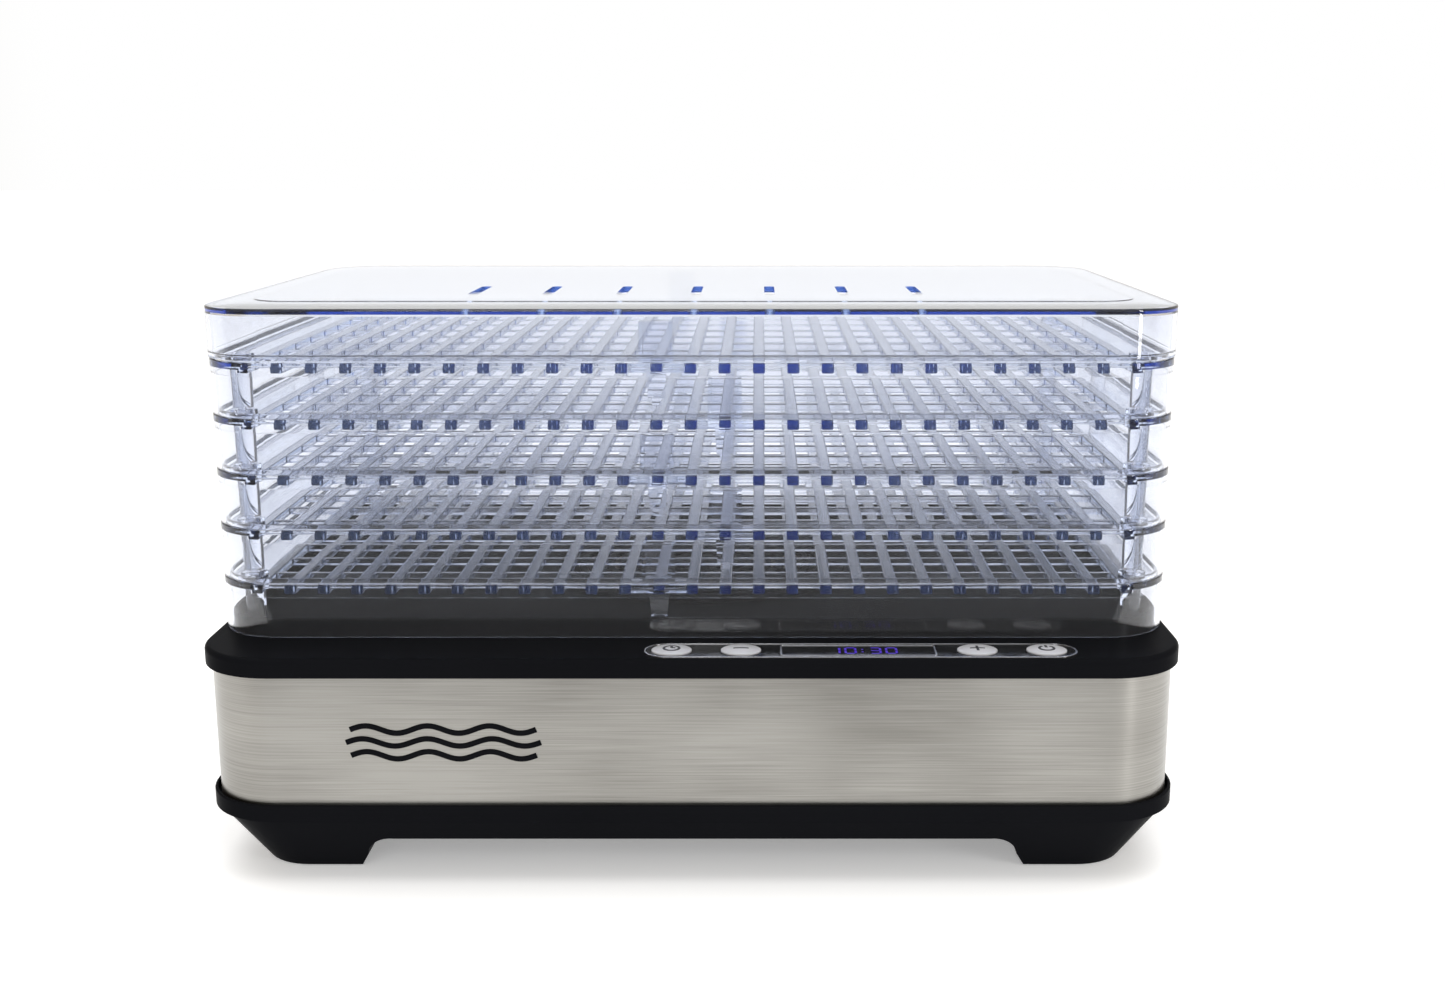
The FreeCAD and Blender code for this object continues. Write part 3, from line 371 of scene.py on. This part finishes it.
steel_cloud = noise_on_object(steel_tree, 11.0, 2.0, (1.0, 1.0, 2.0))
steel_shade = steel_tree.nodes.new("ShaderNodeMix")
steel_shade.inputs["Factor"].default_value = 0.5
steel_tree.links.new(steel_lines.outputs["Fac"], steel_shade.inputs["A"])
steel_tree.links.new(steel_cloud, steel_shade.inputs["B"])
shade_between(steel_tree, steel_shader, spread(steel_tree, steel_shade.outputs["Result"], -1.5, 2.5),
              (0.24, 0.233, 0.216), (0.37, 0.362, 0.340))
steel_tree.links.new(spread(steel_tree, steel_cloud, 0.27, 0.35), steel_shader.inputs["Roughness"])
bump_from(steel_tree, steel_shader, steel_lines.outputs["Fac"], 0.10, 0.00004)

section = eased([(0.0, low.z), (0.0, high.z), (SHEET, high.z), (SHEET, low.z)], 0.15 * MM, 2)
band_mesh = skin_loops("steel_wrap", [rounded_loop(STEEL, i, z, 0.0, 16) for i, z in section], True)
END_ARM = 0.22
band_uv = band_mesh.uv_layers.new(name="along_band")
for loop in band_mesh.loops:
    point = band_mesh.vertices[loop.vertex_index].co
    turn = math.atan2(point.y, point.x)
    along = turn * END_ARM if abs(point.x) > STEEL[0] / 2 - STEEL[2] else point.x
    band_uv.data[loop.index].uv = (along, point.z)
steel_wrap = finish_object("steel_wrap", band_mesh, steel)
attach(steel_wrap, "base")
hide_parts("steel_band")


# ------------------------------------------------------------ clear trays
# Five identical mouldings in clear styrene with a faint blue tint. Each has
# a low skirt, a grille of flat bars, corner posts and spacer tabs and pegs,
# and is turned end for end from its neighbours. They stack by their rims.

clear_plastic, clear_tree, clear_shader = new_material("clear_styrene")
set_inputs(clear_shader, Transmission_Weight=0.98, IOR=1.49)
clear_shader.inputs["Base Color"].default_value = (0.955, 0.965, 1.0, 1.0)
texture_mark = clear_tree.nodes.new("ShaderNodeAttribute")
texture_mark.attribute_name = "mould_texture"
polish = spread(clear_tree, noise_on_object(clear_tree, 26.0, 1.0), 0.0, 0.02)
matt = clear_tree.nodes.new("ShaderNodeMath")
matt.operation = "MULTIPLY_ADD"
matt.inputs[1].default_value = 0.12
clear_tree.links.new(texture_mark.outputs["Fac"], matt.inputs[0])
clear_tree.links.new(polish, matt.inputs[2])
clear_tree.links.new(matt.outputs["Value"], clear_shader.inputs["Roughness"])
tint = clear_tree.nodes.new("ShaderNodeVolumeAbsorption")
tint.inputs["Color"].default_value = (0.0, 0.30, 0.80, 1.0)
tint.inputs["Density"].default_value = 15.0
clear_tree.links.new(tint.outputs["Volume"], clear_tree.nodes["Material Output"].inputs["Volume"])

TRAY = (0.438, 0.267, 0.030)
TRAY_Y = 0.014
TRAY_COUNT = 5
BAR_PITCH = 15.15 * MM
CROSS_PITCH = 27.0 * MM


def add_field(tree, name, kind, value):
    """Named input on a node group's interface, with its usual value."""
    field = tree.interface.new_socket(name=name, in_out="INPUT", socket_type=kind)
    if value is not None:
        field.default_value = value
    return field.identifier


def grille_tree():
    """Node group that lays chamfered bars both ways and joins them into one grille."""
    tree = bpy.data.node_groups.new("tray_grille", "GeometryNodeTree")
    sizes = {}
    for name, kind, value in (
        ("Bar count", "NodeSocketInt", 27), ("Bar pitch", "NodeSocketFloat", BAR_PITCH),
        ("Bar width", "NodeSocketFloat", 5.3 * MM), ("Bar height", "NodeSocketFloat", 4.2 * MM),
        ("Bar length", "NodeSocketFloat", 0.264), ("Bar middle", "NodeSocketFloat", 0.1 * MM),
        ("Cross count", "NodeSocketInt", 9), ("Cross pitch", "NodeSocketFloat", CROSS_PITCH),
        ("Cross width", "NodeSocketFloat", 3.6 * MM), ("Cross height", "NodeSocketFloat", 3.2 * MM),
        ("Cross length", "NodeSocketFloat", 0.400), ("Cross middle", "NodeSocketFloat", 0.25 * MM),
        ("Chamfer", "NodeSocketFloat", 0.45 * MM), ("Material", "NodeSocketMaterial", None),
    ):
        sizes[name] = add_field(tree, name, kind, value)
    tree.interface.new_socket(name="Geometry", in_out="OUTPUT", socket_type="NodeSocketGeometry")
    fields = tree.nodes.new("NodeGroupInput").outputs
    link = tree.links.new

    def vector(x=None, y=None, z=None):
        combine = tree.nodes.new("ShaderNodeCombineXYZ")
        for axis, socket in (("X", x), ("Y", y), ("Z", z)):
            if socket is not None:
                link(socket, combine.inputs[axis])
        return combine.outputs["Vector"]

    def math_node(operation, a, b):
        node = tree.nodes.new("ShaderNodeMath")
        node.operation = operation
        for socket, value in zip(node.inputs, (a, b)):
            if isinstance(value, (int, float)):
                socket.default_value = value
            else:
                link(value, socket)
        return node.outputs[0]

    def row(kind, across):
        """One family of parallel bars; across says that they run along X."""
        outline = tree.nodes.new("GeometryNodeCurvePrimitiveQuadrilateral")
        link(fields[f"{kind} width"], outline.inputs["Width"])
        link(fields[f"{kind} height"], outline.inputs["Height"])
        chamfer = tree.nodes.new("GeometryNodeFilletCurve")
        chamfer.mode = "POLY"
        chamfer.inputs["Count"].default_value = 1
        link(outline.outputs["Curve"], chamfer.inputs["Curve"])
        link(fields["Chamfer"], chamfer.inputs["Radius"])
        half = math_node("MULTIPLY", fields[f"{kind} length"], 0.5)
        minus = math_node("MULTIPLY", half, -1.0)
        middle = fields[f"{kind} middle"]
        run = tree.nodes.new("GeometryNodeCurvePrimitiveLine")
        link(vector(minus, None, middle) if across else vector(None, minus, middle), run.inputs["Start"])
        link(vector(half, None, middle) if across else vector(None, half, middle), run.inputs["End"])
        bar = tree.nodes.new("GeometryNodeCurveToMesh")
        bar.inputs["Fill Caps"].default_value = True
        link(run.outputs["Curve"], bar.inputs["Curve"])
        link(chamfer.outputs["Curve"], bar.inputs["Profile Curve"])
        gaps = math_node("SUBTRACT", fields[f"{kind} count"], 1)
        start = math_node("MULTIPLY", math_node("MULTIPLY", gaps, fields[f"{kind} pitch"]), -0.5)
        places = tree.nodes.new("GeometryNodeMeshLine")
        link(fields[f"{kind} count"], places.inputs["Count"])
        link(vector(None, start) if across else vector(start), places.inputs["Start Location"])
        pitch = fields[f"{kind} pitch"]
        link(vector(None, pitch) if across else vector(pitch), places.inputs["Offset"])
        copies = tree.nodes.new("GeometryNodeInstanceOnPoints")
        link(places.outputs["Mesh"], copies.inputs["Points"])
        link(bar.outputs["Mesh"], copies.inputs["Instance"])
        realize = tree.nodes.new("GeometryNodeRealizeInstances")
        link(copies.outputs["Instances"], realize.inputs["Geometry"])
        return realize.outputs["Geometry"]

    joined = tree.nodes.new("GeometryNodeMeshBoolean")
    joined.operation = "UNION"
    joined.solver = "MANIFOLD"
    link(row("Bar", False), joined.inputs["Mesh 2"])
    link(row("Cross", True), joined.inputs["Mesh 2"])
    realize = tree.nodes.new("GeometryNodeRealizeInstances")
    link(joined.outputs["Mesh"], realize.inputs["Geometry"])
    finish = tree.nodes.new("GeometryNodeSetMaterial")
    link(realize.outputs["Geometry"], finish.inputs["Geometry"])
    link(fields["Material"], finish.inputs["Material"])
    link(finish.outputs["Geometry"], tree.nodes.new("NodeGroupOutput").inputs["Geometry"])
    return tree, sizes


def slab(name, outline, z0, z1):
    """Upright solid from a flat outline."""
    return skin_loops(name, [[Vector((x, y, z)) for x, y in outline] for z in (z0, z1)], False)


def side_margin(side):
    """Outline of the plain strip beyond the outermost bar, let into the wall."""
    edge = 195.5 * MM
    let_in = 1.2 * MM
    points = [p for p in rounded_loop(TRAY, let_in, 0.0) if p.x * side > edge]
    if side < 0:
        points = [Vector((-p.x, p.y, 0)) for p in points]
    points.sort(key=lambda p: p.y)
    y_end = TRAY[1] / 2 - let_in
    outline = [(edge, -y_end)] + [(p.x, p.y) for p in points] + [(edge, y_end)]
    return [(side * x, y) for x, y in outline]


def oval_outline(cx, cy, width, depth, steps=20):
    turn = [2 * math.pi * i / steps for i in range(steps)]
    return [(cx + width / 2 * math.cos(a), cy + depth / 2 * math.sin(a)) for a in turn]


def box_outline(cx, cy, width, depth):
    signs = ((-1, -1), (1, -1), (1, 1), (-1, 1))
    return [(cx + sx * width / 2, cy + sy * depth / 2) for sx, sy in signs]


def tapered(name, outline, x, y, levels, ring=False):
    """Upright shape through flat outlines, each given as width, depth and height."""
    loops = [[Vector((px, py, z * MM)) for px, py in outline(x, y, w * MM, d * MM)]
             for w, d, z in levels]
    return skin_loops(name, loops, ring)


def joined_mesh(name, meshes):
    """Several meshes as one, without welding them."""
    shape = bmesh.new()
    for mesh in meshes:
        shape.from_mesh(mesh)
    result = bpy.data.meshes.new(name)
    shape.to_mesh(result)
    shape.free()
    return result


def tray_wall():
    """Band, skirt and locating rib in one section, round the whole tray."""
    section = [
        (0.0, -3.4), (0.0, 2.8), (2.5, 2.8), (2.9, 5.0), (4.2, 5.0), (4.2, 0.9),
        (2.4, 0.9), (2.3, -3.4), (2.2, -22.3), (0.2, -22.3), (0.5, -3.4),
    ]
    section = eased([(i * MM, z * MM) for i, z in section], 0.5 * MM, 3)
    return skin_loops("tray_wall", [rounded_loop(TRAY, i, z) for i, z in section], True)


POST_AT = (201.5 * MM, 117.8 * MM)
POST = [(9.4, 7.2, -0.2), (9.0, 6.8, -18.9), (5.0, 5.0, -18.95), (4.6, 4.6, -21.2)]
SOCKET = [(12.4, 10.4, 1.8), (12.0, 10.0, 5.4), (6.4, 6.4, 5.4), (6.4, 6.4, 1.8)]
TAB_AT = (-BAR_PITCH, 125.3 * MM)
PAD_Y = 126.0 * MM
TAB = [(15.2, 8.0, 1.0), (14.8, 7.7, 20.3), (11.6, 4.5, 20.3), (11.8, 4.6, 4.5)]
PEG = [(9.0, 4.0, -1.0), (7.4, 3.7, -13.6), (4.8, 3.0, -13.65), (4.2, 2.7, -17.0)]


def tray_fittings():
    """Plain margins, posts, sockets, pads, spacer tabs and pegs, one mesh per layer of overlap."""
    layers = [[], [], []]
    for side in (-1, 1):
        layers[0].append(slab("margin", side_margin(side), -0.6 * MM, 2.05 * MM))
        for end in (-1, 1):
            x = side * POST_AT[0]
            y = end * POST_AT[1]
            layers[1].append(tapered("post", oval_outline, x, y, POST))
            layers[2].append(tapered("socket", oval_outline, x, y, SOCKET, True))
    x = TAB_AT[0]
    for end in (-1, 1):
        y = end * TAB_AT[1]
        pad = box_outline(x, end * PAD_Y, 25 * MM, 9.4 * MM)
        layers[0].append(slab("pad", pad, -1.7 * MM, 1.95 * MM))
        layers[1].append(tapered("tab", box_outline, x, y, TAB))
        layers[2].append(tapered("peg", box_outline, x, y, PEG))
    return [joined_mesh("fittings", layer) for layer in layers]


tray_group, tray_fields = grille_tree()


def tray_shape(draft):
    """Grille from the node group, then wall and fittings joined into one clear solid."""
    grille = draft.modifiers.new("grille", "NODES")
    grille.node_group = tray_group
    grille[tray_fields["Material"]] = clear_plastic
    for index, mesh in enumerate([tray_wall()] + tray_fittings()):
        cutter = bpy.data.objects.new(f"tray_layer_{index}", mesh)
        bpy.context.collection.objects.link(cutter)
        cutter.hide_render = True
        join = draft.modifiers.new(f"join_{index}", "BOOLEAN")
        join.operation = "UNION"
        join.solver = "MANIFOLD"
        join.object = cutter


tray_mesh = modified(bpy.data.meshes.new("tray_start"), tray_shape)

# The bars have the fine matt texture of their mould; walls, pads and tabs are polished.
texture = tray_mesh.attributes.new("mould_texture", "FLOAT", "FACE")
BARS_REACH = (198.5 * MM, TRAY[1] / 2 - 4.3 * MM, 2.22 * MM)
PAD_REACH = 13 * MM
PAD_FROM = 121 * MM
for face in tray_mesh.polygons:
    centre = face.center
    on_bars = all(abs(centre[axis]) < BARS_REACH[axis] for axis in range(3))
    on_pad = abs(centre.x - TAB_AT[0]) < PAD_REACH and abs(centre.y) > PAD_FROM
    texture.data[face.index].value = 1.0 if on_bars and not on_pad else 0.0
for number in range(1, TRAY_COUNT + 1):
    low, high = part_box(f"tray_{number}_grid")
    height = (low.z + high.z) / 2 - 0.1 * MM
    place = Matrix.Translation((0.0, TRAY_Y, height))
    if number % 2 == 0:
        place = place @ Matrix.Rotation(math.pi, 4, "Z")
    mesh = tray_mesh.copy()
    mesh.transform(place)
    tray = finish_object(f"clear_tray_{number}", mesh, clear_plastic)
    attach(tray, f"tray_{number}")
    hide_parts(f"tray_{number}_frame", f"tray_{number}_grid")
for index in range(4):
    bpy.data.objects.remove(bpy.data.objects[f"tray_layer_{index}"])


# -------------------------------------------------------------------- lid
# The lid is the same clear styrene: a shallow tray turned over, with a
# raised panel, seven vent slots and a seat that rests on the top tray's rim.

LID = (0.439, 0.268, 0.0305)
LID_PANEL = (0.410, 0.199, 0.020)
LID_OUTSIDE = [(0.9, 0.0), (0.0, 0.9), (0.0, 20.7), (0.15, 21.4),
               (0.0, 22.1), (0.0, 22.9), (0.35, 23.5), (1.0, 23.7)]
LID_PANEL_EDGE = [(0.0, 23.7), (0.4, 24.0)]
LID_INSIDE = [(2.6, 0.0), (2.9, 0.3), (2.9, 2.7), (2.6, 3.0),
              (2.2, 3.2), (2.0, 3.6), (2.0, 20.2), (2.8, 21.0)]
SLOT = (5.0 * MM, 44.7 * MM, 2.49 * MM)
SLOT_PITCH = 35.4 * MM
SLOT_Y = -27.45 * MM
low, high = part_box("lid")


def lid_loops(size, section):
    """Rounded outlines round the lid, each given as inset and rise in millimetres."""
    return [rounded_loop(size, inset * MM, low.z + rise * MM, TRAY_Y) for inset, rise in section]


lid_inner = lid_loops(LID, LID_INSIDE)
lid_outer = lid_loops(LID, LID_OUTSIDE) + lid_loops(LID_PANEL, LID_PANEL_EDGE)
lid_mesh = skin_loops("lid_shell", lid_inner[::-1] + lid_outer, False)


def lid_slots(draft):
    """Vent slots cut with rounded ends."""
    cutters = []
    for i in range(-3, 4):
        aside = Vector((i * SLOT_PITCH, 0, 0))
        loops = [[p + aside for p in rounded_loop(SLOT, 0.0, low.z + z * MM, SLOT_Y, 6)]
                 for z in (18.0, 26.0)]
        cutters.append(skin_loops("slot", loops, False))
    cutter = bpy.data.objects.new("lid_slot_cutter", joined_mesh("slots", cutters))
    bpy.context.collection.objects.link(cutter)
    cutter.hide_render = True
    cut = draft.modifiers.new("slots", "BOOLEAN")
    cut.operation = "DIFFERENCE"
    cut.solver = "MANIFOLD"
    cut.object = cutter


clear_lid = finish_object("clear_lid", modified(lid_mesh, lid_slots), clear_plastic)
bpy.data.objects.remove(bpy.data.objects["lid_slot_cutter"])
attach(clear_lid, "lid")
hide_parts("lid")


# ---------------------------------------------------------- control panel
# A polished black fascia let into the front ledge, with a thin silver line
# round it, a smoked window for the clock and four silver push buttons.

gloss_black, gloss_tree, gloss_shader = new_material("polished_black")
gloss_drift = noise_on_object(gloss_tree, 30.0, 2.0)
shade_between(gloss_tree, gloss_shader, gloss_drift, (0.004, 0.004, 0.005), (0.007, 0.007, 0.008))
gloss_tree.links.new(spread(gloss_tree, gloss_drift, 0.06, 0.10), gloss_shader.inputs["Roughness"])
softened_node("control_fascia_plate", "control_fascia", gloss_black, 0.12 * MM)
softened_node("display_lens", "display_window", gloss_black, 0.12 * MM)

silver, silver_tree, silver_shader = new_material("silver_line")
set_inputs(silver_shader, Metallic=1.0)
silver_drift = noise_on_object(silver_tree, 160.0, 2.0)
shade_between(silver_tree, silver_shader, silver_drift, (0.72, 0.72, 0.74), (0.82, 0.82, 0.84))
silver_tree.links.new(spread(silver_tree, silver_drift, 0.18, 0.28), silver_shader.inputs["Roughness"])
softened_node("panel_outline", "fascia_trim", silver, 0.1 * MM)
softened_node("display_outline", "display_frame", silver, 0.1 * MM)

silver_paint, paint_tree, paint_shader = new_material("silver_button_paint")
set_inputs(paint_shader, Metallic=0.25, Coat_Weight=0.3, Coat_Roughness=0.12)
paint_flake = noise_on_object(paint_tree, 5200.0, 1.0)
shade_between(paint_tree, paint_shader, paint_flake, (0.70, 0.70, 0.73), (0.84, 0.84, 0.87))
paint_tree.links.new(spread(paint_tree, paint_flake, 0.30, 0.42), paint_shader.inputs["Roughness"])
for word in ("mode", "minus", "plus", "power"):
    softened_node(f"{word}_button_cap", f"button_{word}", silver_paint, 0.25 * MM, f"{word}_button")


def stroke_mesh(name, strokes, width, height, place):
    """Thin raised strokes: polylines drawn on a surface, closed where they end where they began."""
    shape = bmesh.new()
    for line in strokes:
        closed = (Vector(line[0]) - Vector(line[-1])).length < 1e-7
        points = [Vector(p) for p in (line[:-1] if closed else line)]
        count = len(points)
        rows = []
        for i, point in enumerate(points):
            before = points[i - 1] if closed or i > 0 else point
            after = points[(i + 1) % count] if closed or i < count - 1 else point
            along = (after - before).normalized()
            side_step = Vector((-along.y, along.x)) * width / 2
            rows.append([shape.verts.new(place(*(point + side_step * s), h))
                         for s, h in ((-1, 0.0), (1, 0.0), (0.8, height), (-0.8, height))])
        pairs = list(zip(rows, rows[1:])) + ([(rows[-1], rows[0])] if closed else [])
        for low_row, high_row in pairs:
            for k in range(4):
                j = (k + 1) % 4
                shape.faces.new((low_row[k], low_row[j], high_row[j], high_row[k]))
        if not closed:
            shape.faces.new(rows[0])
            shape.faces.new(rows[-1])
    bmesh.ops.recalc_face_normals(shape, faces=shape.faces)
    mesh = bpy.data.meshes.new(name)
    shape.to_mesh(mesh)
    shape.free()
    return mesh


def arc(radius, start, end, steps=16):
    """Part of a circle, in degrees from +X."""
    angles = [math.radians(start + (end - start) * i / steps) for i in range(steps + 1)]
    return [(radius * math.cos(a), radius * math.sin(a)) for a in angles]


def straight(first, last, steps=6):
    """Points along a straight stroke."""
    return [tuple(Vector(first).lerp(Vector(last), i / steps)) for i in range(steps + 1)]


# Dark pad-printed symbols on the four domed caps.
symbol_ink, ink_tree, ink_shader = new_material("symbol_ink")
ink_drift = noise_on_object(ink_tree, 900.0, 2.0)
shade_between(ink_tree, ink_shader, ink_drift, (0.02, 0.02, 0.024), (0.032, 0.032, 0.036))
ink_tree.links.new(spread(ink_tree, ink_drift, 0.4, 0.5), ink_shader.inputs["Roughness"])
SYMBOLS = {
    "mode": [arc(3.4, 0, 360, 28), straight((0, 0), (0, 2.3)), straight((0, 0), (1.7, 0))],
    "minus": [straight((-3.4, 0), (3.4, 0))],
    "plus": [straight((-3.3, 0), (3.3, 0)), straight((0, -3.3), (0, 3.3))],
    "power": [arc(3.2, 122, 418, 26), straight((0, 0.6), (0, 4.3))],
}
DOME = 46.0 * MM
SYMBOL_ROOT = 0.04 * MM
for word, strokes in SYMBOLS.items():
    low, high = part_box(f"button_{word}")
    middle = (low + high) / 2

    def on_dome(u, v, h, centre=middle, top=high.z):
        drop = (u * u + v * v) / (2 * DOME) + SYMBOL_ROOT
        return Vector((centre.x + u, centre.y + v, top - drop + h))

    lines = [[(u * MM, v * MM) for u, v in stroke] for stroke in strokes]
    mesh = stroke_mesh(f"{word}_symbol", lines, 1.3 * MM, 0.14 * MM, on_dome)
    symbol = finish_object(f"{word}_symbol", mesh, symbol_ink)
    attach(symbol, f"{word}_button")

# Violet clock digits, lit through the smoked window.
digit_glow, glow_tree, glow_shader = new_material("clock_digits")
set_inputs(glow_shader, Roughness=0.4, Emission_Strength=0.45)
glow_shader.inputs["Emission Color"].default_value = (0.10, 0.03, 0.95, 1.0)
shade_between(glow_tree, glow_shader, noise_on_object(glow_tree, 700.0),
              (0.02, 0.01, 0.10), (0.03, 0.01, 0.14))
SEGMENTS = {"1": "bc", "0": "abcdef", "3": "abgcd"}
DIGIT_HEIGHT = 8.0
DIGITS_AT = (("1", 61.5), ("0", 68.6), ("3", 79.6), ("0", 86.7))
COLON_AT = 76.1
SEGMENT_LINES = {
    "a": ((0.4, 8.0), (4.0, 8.0)), "b": ((4.4, 7.6), (4.4, 4.4)), "c": ((4.4, 3.6), (4.4, 0.4)),
    "d": ((0.4, 0.0), (4.0, 0.0)), "e": ((0.0, 3.6), (0.0, 0.4)), "f": ((0.0, 7.6), (0.0, 4.4)),
    "g": ((0.4, 4.0), (4.0, 4.0)),
}
low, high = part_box("display_window")
window_mid = (low + high) / 2
digit_lines = []
for digit, x in DIGITS_AT:
    for key in SEGMENTS[digit]:
        first, last = SEGMENT_LINES[key]
        digit_lines.append([((x + u) * MM, (v - DIGIT_HEIGHT / 2) * MM)
                            for u, v in straight(first, last, 2)])
for v in (-1.8, 1.8):
    digit_lines.append([((COLON_AT + u) * MM, v * MM) for u in (-0.45, 0.45)])
mesh = stroke_mesh("clock_digits", digit_lines, 1.1 * MM, 0.05 * MM,
                   lambda u, v, h: Vector((u, window_mid.y + v, high.z - 0.02 * MM + h)))
digits = finish_object("clock_digits", mesh, digit_glow)
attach(digits, "base")


# ------------------------------------------------------------ front emblem
# Three raised waves of warm air, a thin moulded emblem in black plastic
# that is stuck to the steel at the left of the front face.

WAVES = ((72.5, -150.0, -68.0), (66.5, -152.0, -66.0), (60.5, -150.0, -68.0))
WAVE_RISE = 1.7
WAVE_TURNS = 3.0
WAVE_STEPS = 60
low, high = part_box("steel_band")
wave_lines = []
for z, start, end in WAVES:
    wave_lines.append([((start + (end - start) * i / WAVE_STEPS) * MM,
                        (z + WAVE_RISE * math.sin(2 * math.pi * WAVE_TURNS * i / WAVE_STEPS)) * MM)
                       for i in range(WAVE_STEPS + 1)])
mesh = stroke_mesh("air_waves", wave_lines, 2.6 * MM, 0.5 * MM,
                   lambda u, v, h: Vector((u, low.y - h, v)))
emblem = finish_object("air_waves", mesh, satin_black)
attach(emblem, "base")


# ---------------------------------------------- what the housing holds
# Motor, fan, heater, boards and wiring. They keep their CAD shapes, each
# with a finish of its own.

def plain_finish(name, dark, light, rough, metallic=0.0, scale=60.0, grain=0.00002):
    """Material that wanders between two shades and two roughnesses, with a fine grain."""
    material, tree, shader = new_material(name)
    set_inputs(shader, Metallic=metallic)
    drift = noise_on_object(tree, scale, 3.0)
    shade_between(tree, shader, drift, dark, light)
    tree.links.new(spread(tree, drift, *rough), shader.inputs["Roughness"])
    bump_from(tree, shader, noise_on_object(tree, scale * 20, 2.0), 0.3, grain)
    return material


INNER_FINISHES = {
    "rubber": ((0.015, 0.015, 0.015), (0.03, 0.03, 0.03), (0.75, 0.9)),
    "black_satin": ((0.010, 0.010, 0.011), (0.016, 0.016, 0.017), (0.35, 0.45)),
    "display_block": ((0.02, 0.02, 0.03), (0.03, 0.03, 0.04), (0.3, 0.4)),
    "circuit_board": ((0.015, 0.10, 0.04), (0.03, 0.16, 0.07), (0.3, 0.5)),
    "switch_black": ((0.02, 0.02, 0.02), (0.04, 0.04, 0.04), (0.4, 0.6)),
    "relay_blue": ((0.02, 0.08, 0.30), (0.03, 0.11, 0.38), (0.3, 0.4)),
    "winding_yellow": ((0.55, 0.40, 0.07), (0.70, 0.54, 0.12), (0.4, 0.6)),
    "capacitor_sleeve": ((0.03, 0.03, 0.06), (0.06, 0.06, 0.10), (0.25, 0.4)),
    "terminal_white": ((0.70, 0.70, 0.66), (0.80, 0.80, 0.76), (0.4, 0.5)),
    "grey_nylon": ((0.36, 0.37, 0.38), (0.44, 0.45, 0.46), (0.4, 0.55)),
    "duct_plastic": ((0.48, 0.48, 0.46), (0.56, 0.56, 0.54), (0.45, 0.6)),
    "mica_board": ((0.52, 0.43, 0.30), (0.70, 0.60, 0.45), (0.35, 0.6)),
    "wire_sleeve": ((0.60, 0.60, 0.57), (0.72, 0.72, 0.70), (0.6, 0.8)),
    "wire_black": ((0.015, 0.015, 0.015), (0.03, 0.03, 0.03), (0.35, 0.5)),
    "ribbon_grey": ((0.42, 0.43, 0.45), (0.52, 0.53, 0.55), (0.4, 0.55)),
}
METAL_FINISHES = {
    "laminated_steel": ((0.20, 0.21, 0.22), (0.34, 0.35, 0.37), (0.35, 0.55)),
    "copper_winding": ((0.45, 0.16, 0.06), (0.66, 0.28, 0.11), (0.25, 0.4)),
    "zinc_steel": ((0.52, 0.53, 0.55), (0.68, 0.69, 0.70), (0.25, 0.4)),
    "bronze": ((0.45, 0.28, 0.12), (0.60, 0.40, 0.19), (0.3, 0.45)),
    "heating_wire": ((0.16, 0.13, 0.12), (0.34, 0.29, 0.26), (0.4, 0.6)),
}
finishes = {slot: plain_finish(slot, *look) for slot, look in INNER_FINISHES.items()}
for slot, look in METAL_FINISHES.items():
    finishes[slot] = plain_finish(slot, *look, metallic=1.0)
for entry in frame["record"]["subparts"]:
    node = frame["nodes"][entry["node"]]
    finish = finishes.get(entry["material_slot"])
    if finish:
        for holder in node.material_slots:
            holder.material = finish
